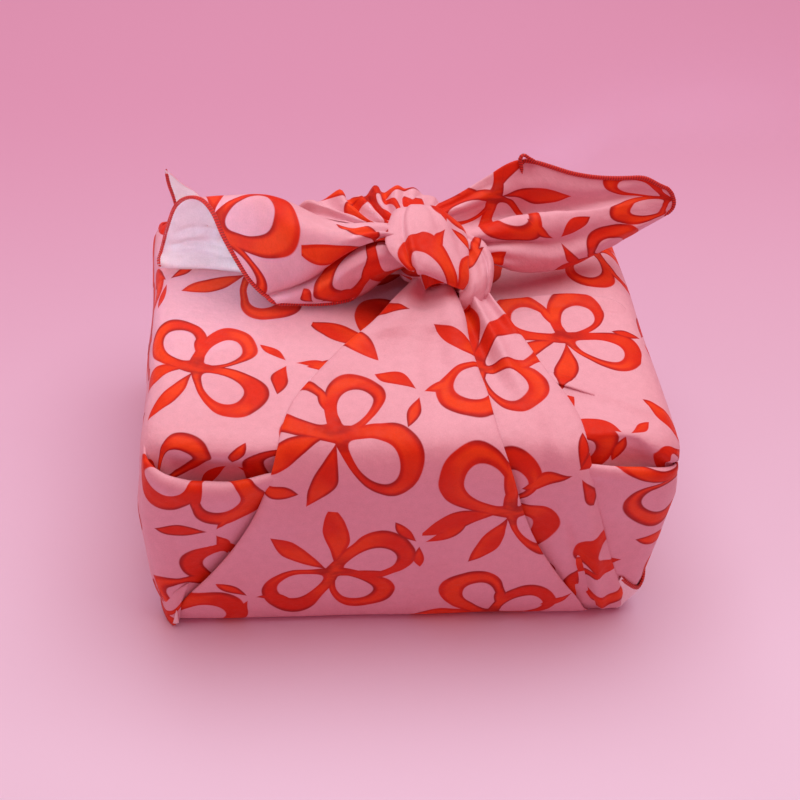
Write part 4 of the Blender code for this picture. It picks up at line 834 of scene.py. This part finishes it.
def back_gathers():
    """One sheet: a sharp crest, its lee side dropping steeply under the next pleat, then a slow rise to the next crest."""
    lines, counts = [], []
    fade = np.array([0.35, 0.8, 1.0, 1.0, 0.85, 0.3])
    for here, after in zip(CRESTS[:-1], CRESTS[1:]):
        p, q = np.array(here.points), np.array(after.points)
        gap = q - p
        drop = np.zeros((6, 3))
        drop[:, 2] = -here.depth * fade
        drop[:, 1] = 0.25 * here.depth * fade
        soft = here.soft
        lines += [p, p + 0.16 * gap + (0.16 - 0.14 * soft) * drop, p + 0.30 * gap + (0.86 - 0.42 * soft) * drop, p + 0.52 * gap + drop, p + 0.80 * gap + 0.34 * drop]
        counts += [2, 2, 3, 3, 2]
    lines.append(np.array(CRESTS[-1].points))
    across, along = steps(counts), steps([3, 4, 4, 5, 5])
    P = surface(lines, across, along)
    n = normals(P)
    i = P.shape[0] // 2
    if n[i, 8, 2] < 0:
        n = -n
    P = P + n * (wander(P, 61, 0.00035, 0.018) * smooth(0.2, 1.2, along)[None, :])[..., None]
    sheet("back_gathers", P, P[i, P.shape[1] // 2] + n[i, P.shape[1] // 2], None, 0.7, (0.27, 0.52))


Strand = namedtuple("Strand", "x y z radius")
# The heart of the knot, under its bands.
ROLLS = {
    "heart_a": [Strand(0.0060, 0.0200, 0.1300, 0.0060), Strand(0.0095, 0.0120, 0.1350, 0.0075), Strand(0.0150, 0.0065, 0.1395, 0.0090), Strand(0.0230, 0.0040, 0.1370, 0.0085), Strand(0.0300, 0.0060, 0.1300, 0.0060)],
    "heart_b": [Strand(0.0180, -0.0040, 0.1360, 0.0075), Strand(0.0170, 0.0060, 0.1420, 0.0100), Strand(0.0160, 0.0180, 0.1450, 0.0115), Strand(0.0160, 0.0300, 0.1430, 0.0100), Strand(0.0160, 0.0440, 0.1380, 0.0080)],
}


def band():
    along = steps([4, 5, 8, 8, 8, 7, 5, 3])
    across = steps([4, 10, 14, 14, 9, 4])
    P = surface(BAND, along, across)
    n = normals(P)
    i, j = int(np.argmin(np.abs(along - 3.5))), int(np.argmin(np.abs(across - 3)))
    if n[i, j, 2] < 0:
        n = -n
    live = smooth(0.6, 1.8, along) * (1 - smooth(6.6, 7.4, along))
    wide = across[None, :]
    push = -0.0026 * bump(wide, 1.98, 0.10) + 0.0014 * bump(wide, 2.22, 0.16) + 0.0005 * bump(wide, 1.55, 0.2)
    push = push * (0.55 + 0.45 * smooth(1.5, 4.5, along))[:, None]
    drift = 3.0 + 0.30 * (along[:, None] - 3.5)
    push = push - 0.0010 * bump(wide - drift, 0.55, 0.16) * (1 - smooth(2.6, 4.4, along))[:, None]
    push = push + 0.0008 * bump(wide - drift, 0.90, 0.20) * (1 - smooth(2.8, 4.8, along))[:, None]
    push = push - 0.0008 * bump(wide - drift, -0.40, 0.22) * (1 - smooth(2.0, 3.4, along))[:, None]
    push = push * live[:, None] + wander(P, 51, 0.00022, 0.016) * live[:, None]
    P = P + n * push[..., None]
    sheet("knot_band", P, P[i, j] + n[i, j], None, 2.05, (0.469, 0.344))


EYEWARD = np.array([-0.096, -0.744, 0.662])
RIM_FORWARD = [0.0030, 0.0048, 0.0060, 0.0056, 0.0042, 0.0026, 0.0008]
RIM_FORWARD_ROWS = np.array(RIM_FORWARD)[:, None] * EYEWARD[None, :]


def rim():
    along = steps([7] * 6)
    across = steps([6, 7, 6, 5, 4])
    P = surface(RIM, along, across)
    P = P + spline(RIM_FORWARD_ROWS, along)[:, None, :]
    n = normals(P)
    i, j = P.shape[0] // 2, int(np.argmin(np.abs(across - 3)))
    if n[i, j, 2] < 0:
        n = -n
    push = -0.0010 * bump(across, 1.25, 0.22)[None, :] + 0.0006 * bump(across, 1.75, 0.22)[None, :] + wander(P, 52, 0.00022, 0.015)
    push = push - 0.0013 * np.exp(-(((across[None, :] - 2.25 - 0.12 * (along[:, None] - 2)) / 0.16) ** 2))
    P = P + n * push[..., None]
    sheet("knot_rim", P, P[i, j] + n[i, j], None, 0.4, (0.432, -0.148))


def roll(name, table, seed):
    """A tapering, uneven roll of cloth."""
    along = steps([5] * (len(table) - 1))
    rows = spline([tuple(s) for s in table], along)
    centre = rows[:, :3]
    ahead = np.gradient(centre, axis=0)
    ahead /= np.linalg.norm(ahead, axis=1, keepdims=True)
    side = np.cross(ahead, np.array([0.0, 0.0, 1.0]))
    side /= np.maximum(np.linalg.norm(side, axis=1, keepdims=True), 1e-6)
    up = np.cross(side, ahead)
    rng = np.random.RandomState(seed)
    a = np.linspace(0, 2 * math.pi, 21)
    n = side[:, None] * np.cos(a)[None, :, None] + up[:, None] * np.sin(a)[None, :, None]
    P = centre[:, None] + n * rows[:, 3][:, None, None]
    P = P + n * wander(P, seed, 0.00075, 0.016)[..., None]
    P[:, -1] = P[:, 0]
    uv = np.stack([np.broadcast_to(a[None, :] * np.mean(rows[:, 3]), P.shape[:2]), np.broadcast_to(arc(centre)[:, None], P.shape[:2])], axis=2)
    i = P.shape[0] // 2
    return sheet(name, P, P[i, 10] * 2 - centre[i], uv, rng.uniform(0, 6), tuple(rng.uniform(0, 1, 2)), 0.0, 1e-6)


# ================================================================ hem
HEM_WIDTH, HEM_THICK, STITCH = 0.0022, 0.0017, 0.0013


def hem(name, edge, inward, length_scale=1.0, taper=(0.0, 0.0)):
    """The overlocked edge: thread wound over the cloth's edge, a ridge for each stitch. inward points into the cloth."""
    length = arc(edge)
    count = max(12, int(length[-1] / 0.00034))
    at = np.linspace(0, length[-1], count + 1)
    C = np.stack([np.interp(at, length, edge[:, k]) for k in range(3)], axis=1)
    I = np.stack([np.interp(at, length, inward[:, k]) for k in range(3)], axis=1)
    for _ in range(3):
        C[1:-1] = (C[:-2] + 2 * C[1:-1] + C[2:]) / 4
    ahead = np.gradient(C, axis=0)
    ahead /= np.linalg.norm(ahead, axis=1, keepdims=True)
    I -= ahead * np.sum(I * ahead, axis=1, keepdims=True)
    I /= np.maximum(np.linalg.norm(I, axis=1, keepdims=True), 1e-9)
    up = np.cross(ahead, I)
    a = np.linspace(0, 2 * math.pi, 13)
    phase = at / STITCH * 2 * math.pi
    ripple = 1 + 0.075 * np.cos(phase[:, None] + 0.9 * np.cos(a)[None, :])
    ends = smooth(0, 0.003, at) * (1 - smooth(length[-1] - 0.003, length[-1], at))
    size = 0.35 + 0.65 * ends
    half = HEM_WIDTH / 2
    P = (C + I * half * 0.55)[:, None] + I[:, None] * (half * size[:, None] * ripple * np.cos(a)[None, :])[..., None]
    P = P + up[:, None] * (HEM_THICK / 2 * size[:, None] * ripple * np.sin(a)[None, :])[..., None]
    P[:, -1] = P[:, 0]
    uv = np.stack([np.broadcast_to(a[None, :] * 0.0006, P.shape[:2]), np.broadcast_to(at[:, None], P.shape[:2])], axis=2)
    middle = P[P.shape[0] // 2, 3]
    i = P.shape[0] // 2
    obj = sheet(name, P, P[i, P.shape[1] // 2] * 2 - (C[i] + I[i] * half * 0.55), uv, 0.0, (0.0, 0.0), 0.0, 1e-7)
    hems.append(obj)
    made.remove(obj)
    return obj


hems = []

# ================================================================ build
skin()
lap("back_lap", BACK_LAP, -1, (0.108, 0.119), 30, 1.7)
lap("corner_fold", DRAG_LINE, 1, (0.074, 0.096), 22, 0.75)
under_flap()
panel("front_panel", FRONT_PANEL, 1, FRONT_PLEATS, 0.0, (0.115, 0.02), 5, True)
panel("back_panel", BACK_PANEL, -1, BACK_PLEATS, 2.2, (0.42, 0.33), 6, False)
for k, name in enumerate(FOLDS):
    gusset(name, 12 + k)
BP = border()
tuck()
band()
rim()
back_gathers()
for k, (name, table) in enumerate(ROLLS.items()):
    roll(name, table, 60 + k)
LP, LN, LA, LT = left_end()
RP, RN, RA, RT = right_end()
TIP = surface(CORNER_POINT, steps([4, 6, 6, 8]), steps([4, 5, 6]))
sheet("corner_point", TIP, TIP[12, 8] + np.array([0, 1.0, 0]), None, 0.5, (0.61, 0.44))

# hems: the left end's mouth and lower edge, the standing corner, and the right end's upper edge and tip
hem("hem_left_mouth", LP[:, -1], LP[:, -3] - LP[:, -1])
low = LP[0, ::-1]
keep = np.arange(len(low)) < int(len(low) * 0.66)
hem("hem_left_low", low[keep], (LP[3, ::-1] - LP[0, ::-1])[keep])
hem("hem_corner_left", TIP[::-1, 0], TIP[::-1, 2] - TIP[::-1, 0])
hem("hem_border", BP[:, -1], BP[:, -3] - BP[:, -1])
top = int(np.argmin(np.abs(RT - 3.0)))
tip_rows = int(np.argmin(np.abs(RA - 9.4)))
edge = np.concatenate([RP[0, top:], RP[1 : tip_rows + 1, -1]])
inward = np.concatenate([RP[4, top:] - RP[0, top:], RP[1 : tip_rows + 1, -4] - RP[1 : tip_rows + 1, -1]])
hem("hem_right", edge, inward)
LOOP = spline([(0.0606, 0.0438, 0.1712), (0.0596, 0.0442, 0.1760), (0.0590, 0.0448, 0.1790), (0.0604, 0.0455, 0.1806), (0.0640, 0.0452, 0.1786), (0.0680, 0.0450, 0.1768)], np.linspace(0, 5, 60))
hem("hem_right_loop", LOOP, np.broadcast_to(np.array([0.5, -0.6, 0.2]), LOOP.shape).copy())


# ================================================================ materials
def nodes_of(name):
    material = bpy.data.materials.new(name)
    material.use_nodes = True
    tree = material.node_tree
    shader = tree.nodes["Principled BSDF"]
    return material, tree, shader


class Graph:
    """Short names for shader nodes."""

    def __init__(self, tree):
        self.tree = tree

    def put(self, value, socket):
        if hasattr(value, "is_output") or hasattr(value, "links"):
            self.tree.links.new(value, socket)
        else:
            socket.default_value = value

    def math(self, operation, *values, clamp=False):
        node = self.tree.nodes.new("ShaderNodeMath")
        node.operation = operation
        node.use_clamp = clamp
        for value, socket in zip(values, node.inputs):
            self.put(value, socket)
        return node.outputs[0]

    def vector(self, operation, *values):
        node = self.tree.nodes.new("ShaderNodeVectorMath")
        node.operation = operation
        for value, socket in zip(values, node.inputs):
            self.put(value, socket)
        return node.outputs["Value"] if operation in ("LENGTH", "DOT_PRODUCT", "DISTANCE") else node.outputs[0]

    def join(self, x, y, z=0.0):
        node = self.tree.nodes.new("ShaderNodeCombineXYZ")
        for value, socket in zip((x, y, z), node.inputs):
            self.put(value, socket)
        return node.outputs[0]

    def split(self, vector):
        node = self.tree.nodes.new("ShaderNodeSeparateXYZ")
        self.put(vector, node.inputs[0])
        return node.outputs

    def noise(self, vector, scale, detail=2.0, roughness=0.5):
        node = self.tree.nodes.new("ShaderNodeTexNoise")
        self.put(vector, node.inputs["Vector"])
        node.inputs["Scale"].default_value = scale
        node.inputs["Detail"].default_value = detail
        node.inputs["Roughness"].default_value = roughness
        return node.outputs["Fac"], node.outputs["Color"]

    def ramp(self, value, lo, hi, a=0.0, b=1.0):
        node = self.tree.nodes.new("ShaderNodeMapRange")
        node.interpolation_type = "SMOOTHSTEP"
        for v, socket in zip((value, lo, hi, a, b), node.inputs):
            self.put(v, socket)
        return node.outputs[0]

    def mix(self, factor, a, b):
        node = self.tree.nodes.new("ShaderNodeMix")
        node.data_type = "RGBA"
        self.put(factor, node.inputs[0])
        self.put(a, node.inputs[6])
        self.put(b, node.inputs[7])
        return node.outputs[2]


PINK = (0.812, 0.490, 0.574, 1)
PINK_DEEP = (0.764, 0.405, 0.490, 1)
RED = (0.710, 0.026, 0.004, 1)
RED_DEEP = (0.330, 0.004, 0.006, 1)
RED_LIGHT = (0.860, 0.070, 0.008, 1)
WHITE = (0.980, 0.930, 0.960, 1)
THREAD_RED = (0.680, 0.020, 0.010, 1)


# The print: looped blossoms with solid leaves, on a half-drop lattice, and sprigs in the gaps. Each petal is its
# direction, half its length, half its width and its stroke's half-width; each leaf its direction, length, half-width
# and bend.
PITCH = 0.0800
PETALS = [(0.35, 0.0172, 0.0106, 0.0030), (1.95, 0.0150, 0.0098, 0.0027), (3.25, 0.0176, 0.0112, 0.0031)]
LEAVES = [(4.25, 0.0440, 0.0066, 0.009), (5.45, 0.0390, 0.0058, -0.008), (2.60, 0.0300, 0.0038, 0.004)]
SPRIGS = [(0.3, 0.0250, 0.0046, 0.005), (2.4, 0.0210, 0.0038, -0.004), (4.6, 0.0190, 0.0036, 0.003)]


def fabric(name, printed):
    material, tree, shader = nodes_of(name)
    g = Graph(tree)
    coordinates = tree.nodes.new("ShaderNodeUVMap")
    coordinates.uv_map = "UVMap"
    uv = coordinates.outputs[0]
    if printed:
        # hand-drawn wobble
        _, wobble = g.noise(uv, 26.0, 2.0)
        wobble = g.vector("SCALE", g.vector("SUBTRACT", wobble, (0.5, 0.5, 0.5)))
        wobble.node.inputs["Scale"].default_value = 0.0075
        at = g.vector("ADD", uv, wobble)

        def lattice(point, pitch, offset, seed):
            """The point's place in its cell of a half-drop lattice, turned by a chance angle, and two chance numbers."""
            moved = g.vector("ADD", point, offset)
            x, y, _ = g.split(moved)
            column = g.math("FLOOR", g.math("DIVIDE", x, pitch))
            drop = g.math("MULTIPLY", g.math("FRACT", g.math("MULTIPLY", column, 0.5)), pitch)
            y = g.math("ADD", y, drop)
            row = g.math("FLOOR", g.math("DIVIDE", y, pitch))
            lx = g.math("SUBTRACT", g.math("SUBTRACT", x, g.math("MULTIPLY", column, pitch)), pitch / 2)
            ly = g.math("SUBTRACT", g.math("SUBTRACT", y, g.math("MULTIPLY", row, pitch)), pitch / 2)
            chance = tree.nodes.new("ShaderNodeTexWhiteNoise")
            chance.noise_dimensions = "3D"
            g.put(g.join(column, row, seed), chance.inputs[0])
            angle = g.math("MULTIPLY", chance.outputs["Value"], 6.2832)
            c, s = g.math("COSINE", angle), g.math("SINE", angle)
            rx = g.math("SUBTRACT", g.math("MULTIPLY", lx, c), g.math("MULTIPLY", ly, s))
            ry = g.math("ADD", g.math("MULTIPLY", lx, s), g.math("MULTIPLY", ly, c))
            return rx, ry, chance.outputs["Color"]

        def loop(x, y, centre, length, width, angle, stroke):
            """Distance inside the stroke of a looped petal that starts at the blossom's heart, in metres."""
            c, s = math.cos(angle), math.sin(angle)
            px = g.math("ADD", g.math("MULTIPLY", x, c), g.math("MULTIPLY", y, s))
            py = g.math("SUBTRACT", g.math("MULTIPLY", y, c), g.math("MULTIPLY", x, s))
            ex = g.math("DIVIDE", g.math("SUBTRACT", px, centre), length)
            # broader at its far end
            spread = g.math("ADD", width, g.math("MULTIPLY", g.math("SUBTRACT", px, centre), 0.28))
            ey = g.math("DIVIDE", py, g.math("MAXIMUM", spread, 0.002))
            radius = g.math("SQRT", g.math("ADD", g.math("MULTIPLY", ex, ex), g.math("MULTIPLY", ey, ey)))
            off = g.math("ABSOLUTE", g.math("MULTIPLY", g.math("SUBTRACT", radius, 1.0), width))
            swell = g.math("ADD", stroke, g.math("MULTIPLY", ey, stroke * 0.34))
            return g.math("SUBTRACT", swell, off)

        def leaf(x, y, start, length, width, angle, bend):
            c, s = math.cos(angle), math.sin(angle)
            px = g.math("ADD", g.math("MULTIPLY", x, c), g.math("MULTIPLY", y, s))
            py = g.math("SUBTRACT", g.math("MULTIPLY", y, c), g.math("MULTIPLY", x, s))
            t = g.math("DIVIDE", g.math("SUBTRACT", px, start), length, clamp=True)
            py = g.math("SUBTRACT", py, g.math("MULTIPLY", g.math("MULTIPLY", t, t), bend))
            body = g.math("MULTIPLY", g.math("SINE", g.math("MULTIPLY", g.math("POWER", t, 1.35), math.pi)), width)
            return g.math("SUBTRACT", g.math("SUBTRACT", body, 0.0007), g.math("ABSOLUTE", py))

        x, y, chance = lattice(at, PITCH, (3.0, 3.0, 0.0), 1.0)
        shapes = []
        for angle, length, width, stroke in PETALS:
            shapes.append(loop(x, y, length + 0.0010, length, width, angle, stroke))
        for angle, length, width, bend in LEAVES:
            shapes.append(leaf(x, y, 0.0, length, width, angle, bend))
        shapes.append(g.math("SUBTRACT", 0.0042, g.math("SQRT", g.math("ADD", g.math("MULTIPLY", x, x), g.math("MULTIPLY", y, y)))))
        # small sprigs between the blossoms
        sx, sy, _ = lattice(at, PITCH, (3.0 + PITCH / 2, 3.0 + PITCH / 4, 0.0), 7.0)
        for angle, length, width, bend in SPRIGS:
            shapes.append(leaf(sx, sy, 0.0, length, width, angle, bend))
        inside = shapes[0]
        for shape in shapes[1:]:
            inside = g.math("MAXIMUM", inside, shape)
        ink = g.ramp(inside, -0.00022, 0.00022)
        # paint: a light middle to each stroke, deep shadow at its edges here and there and where strokes run together
        pool, _ = g.noise(at, 34.0, 1.0)
        slope, _ = g.noise(g.vector("ADD", at, (5.0, 2.0, 0.0)), 30.0, 1.0)
        streak, _ = g.noise(g.vector("MULTIPLY", at, (1.0, 2.2, 1.0)), 70.0, 2.0)
        core = g.ramp(inside, 0.0008, 0.0022)
        paint = g.mix(g.math("MULTIPLY", core, g.ramp(slope, 0.42, 0.58, 0.0, 0.85)), RED, RED_LIGHT)
        rim = g.math("MULTIPLY", g.ramp(inside, 0.0001, 0.0016, 1.0, 0.0), g.ramp(pool, 0.44, 0.60, 0.15, 0.95))
        paint = g.mix(rim, paint, RED_DEEP)
        knotted = g.math("MULTIPLY", g.ramp(g.math("SQRT", g.math("ADD", g.math("MULTIPLY", x, x), g.math("MULTIPLY", y, y))), 0.0040, 0.0140, 1.0, 0.0), g.ramp(streak, 0.40, 0.62, 0.10, 0.70))
        paint = g.mix(knotted, paint, RED_DEEP)
        ground, _ = g.noise(uv, 18.0, 3.0)
        pink = g.mix(g.ramp(ground, 0.42, 0.72, 0.0, 0.35), PINK, PINK_DEEP)
        colour = g.mix(ink, pink, paint)
    else:
        faint, _ = g.noise(uv, 22.0, 3.0)
        colour = g.mix(g.ramp(faint, 0.45, 0.75, 0.0, 0.5), WHITE, (0.860, 0.760, 0.790, 1))
    # plain weave: two crossed sets of threads, uneven along their length
    x, y, _ = g.split(uv)
    thread = 2 * math.pi / 0.00042
    warp = g.math("SINE", g.math("MULTIPLY", x, thread))
    weft = g.math("SINE", g.math("MULTIPLY", y, thread))
    slub, _ = g.noise(g.vector("MULTIPLY", uv, (1.0, 6.0, 1.0)), 420.0, 2.0)
    fuzz, _ = g.noise(uv, 1500.0, 2.0)
    crumple, _ = g.noise(uv, 55.0, 4.0, 0.62)
    weave = g.math("MULTIPLY", warp, weft)
    mottle, _ = g.noise(uv, 260.0, 3.0, 0.6)
    tone = g.math("ADD", 0.965, g.math("MULTIPLY", g.math("ADD", weave, g.math("SUBTRACT", slub, 0.5)), 0.045))
    tone = g.math("ADD", tone, g.math("MULTIPLY", g.math("SUBTRACT", mottle, 0.5), 0.18))
    tone = g.math("ADD", tone, g.math("MULTIPLY", g.math("SUBTRACT", fuzz, 0.5), 0.20))
    colour = g.mix(1.0, colour, g.join(tone, tone, tone))
    colour.node.blend_type = "MULTIPLY"
    g.put(colour, shader.inputs["Base Color"])
    height = g.math("ADD", g.math("MULTIPLY", weave, 0.20), g.math("MULTIPLY", slub, 0.30))
    height = g.math("ADD", height, g.math("MULTIPLY", fuzz, 0.30))
    fine = tree.nodes.new("ShaderNodeBump")
    fine.inputs["Strength"].default_value = 0.35
    fine.inputs["Distance"].default_value = 0.00012
    g.put(height, fine.inputs["Height"])
    soft = tree.nodes.new("ShaderNodeBump")
    soft.inputs["Strength"].default_value = 0.48
    soft.inputs["Distance"].default_value = 0.0022
    g.put(crumple, soft.inputs["Height"])
    tree.links.new(fine.outputs[0], soft.inputs["Normal"])
    tree.links.new(soft.outputs[0], shader.inputs["Normal"])
    rough, _ = g.noise(uv, 300.0, 2.0)
    g.put(g.ramp(rough, 0.3, 0.7, 0.50, 0.64), shader.inputs["Roughness"])
    shader.inputs["Specular IOR Level"].default_value = 0.20
    shader.inputs["Sheen Weight"].default_value = 0.07
    shader.inputs["Sheen Roughness"].default_value = 0.45
    shader.inputs["Sheen Tint"].default_value = (1.0, 0.86, 0.88, 1)
    return material


def thread():
    material, tree, shader = nodes_of("hem_thread")
    g = Graph(tree)
    coordinates = tree.nodes.new("ShaderNodeUVMap")
    coordinates.uv_map = "UVMap"
    uv = coordinates.outputs[0]
    x, y, _ = g.split(uv)
    wind = g.math("SINE", g.math("ADD", g.math("MULTIPLY", y, 2 * math.pi / STITCH), g.math("MULTIPLY", x, 1400.0)))
    ply, _ = g.noise(uv, 2600.0, 2.0)
    # painted shade: the thread is a darker red in the grooves between its wraps
    shade = g.ramp(wind, -1.0, 0.6)
    colour = g.mix(shade, (0.300, 0.008, 0.008, 1), THREAD_RED)
    colour = g.mix(g.ramp(ply, 0.5, 0.8, 0.0, 0.5), colour, (0.860, 0.080, 0.040, 1))
    g.put(colour, shader.inputs["Base Color"])
    height = g.math("ADD", g.math("MULTIPLY", wind, 0.5), g.math("MULTIPLY", ply, 0.4))
    bump_node = tree.nodes.new("ShaderNodeBump")
    bump_node.inputs["Strength"].default_value = 0.6
    bump_node.inputs["Distance"].default_value = 0.0003
    g.put(height, bump_node.inputs["Height"])
    tree.links.new(bump_node.outputs[0], shader.inputs["Normal"])
    shader.inputs["Roughness"].default_value = 0.55
    shader.inputs["Sheen Weight"].default_value = 0.08
    return material


printed, reverse, stitched = fabric("printed_cotton", True), fabric("cotton_reverse", False), thread()


# ================================================================ one cloth
def joined(objects, name, materials):
    deps = bpy.context.evaluated_depsgraph_get
    for obj in objects:
        obj.data.materials.clear()
        for material in materials:
            obj.data.materials.append(material)
    bpy.context.view_layer.update()
    graph = bpy.context.evaluated_depsgraph_get()
    for obj in objects:
        applied = bpy.data.meshes.new_from_object(obj.evaluated_get(graph))
        obj.modifiers.clear()
        obj.data = applied
    bpy.ops.object.select_all(action="DESELECT")
    for obj in objects:
        obj.select_set(True)
    bpy.context.view_layer.objects.active = objects[0]
    bpy.ops.object.join()
    whole = bpy.context.view_layer.objects.active
    whole.name = name
    whole.data.name = name
    return whole


cloth = joined(made, "wrapping_cloth", [printed, reverse])
edging = joined(hems, "overlocked_hem", [stitched])
for piece in (cloth, edging):
    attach(piece, "root")
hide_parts("furoshiki_cloth")


# ================================================================ studio
def pale_floor():
    """Plain pink card with painted light: paler towards the front and the right, deeper towards the back, where less
    light falls.
    """
    material, tree, shader = nodes_of("pale_floor")
    g = Graph(tree)
    place = tree.nodes.new("ShaderNodeTexCoord")
    x, y, _ = g.split(place.outputs["Object"])
    # painted light: the card's colour pales towards the front and the right and deepens towards the back
    far = g.math("SUBTRACT", y, g.math("MULTIPLY", g.math("MAXIMUM", g.math("SUBTRACT", x, 0.03), 0.0), 0.2))
    g.put(g.mix(g.ramp(far, -0.40, 0.45), (0.812, 0.812, 1.000, 1), (0.655, 0.385, 0.580, 1)), shader.inputs["Base Color"])
    shader.inputs["Roughness"].default_value = 0.8
    shader.inputs["Specular IOR Level"].default_value = 0.2
    return material


bpy.ops.mesh.primitive_plane_add(size=6.0, location=(0, 0, -0.0002))
floor = bpy.context.active_object
floor.name = "floor"
floor.data.materials.append(pale_floor())


def lamp(name, location, size, power, colour=(1, 1, 1), aim=(0, 0, 0.08), spread=180):
    data = bpy.data.lights.new(name, "AREA")
    data.shape = "RECTANGLE"
    data.size, data.size_y = size
    data.energy = power
    data.color = colour
    data.spread = math.radians(spread)
    obj = bpy.data.objects.new(name, data)
    obj.location = location
    obj.rotation_euler = (Vector(aim) - Vector(location)).to_track_quat("-Z", "Y").to_euler()
    bpy.context.scene.collection.objects.link(obj)


lamp("overhead", (0.12, 0.30, 1.5), (1.8, 1.35), 20.2)
lamp("left_fill", (-1.5, -0.3, 0.8), (0.9, 0.9), 2.4, (1.0, 0.90, 0.95))
lamp("front_fill", (0.4, -1.7, 0.8), (1.4, 1.0), 1.7, (1.0, 0.08, 0.10))
lamp("mouth_card", (-0.62, -0.50, 0.42), (0.06, 0.06), 0.017, (0.5, 0.82, 1.0), (-0.115, 0.0, 0.150), 10)
world = bpy.data.worlds.new("room")
bpy.context.scene.world = world
world.use_nodes = True
world.node_tree.nodes["Background"].inputs[0].default_value = (1.0, 0.185, 0.225, 1)
world.node_tree.nodes["Background"].inputs[1].default_value = 0.46
bpy.context.scene.view_settings.view_transform = "Standard"
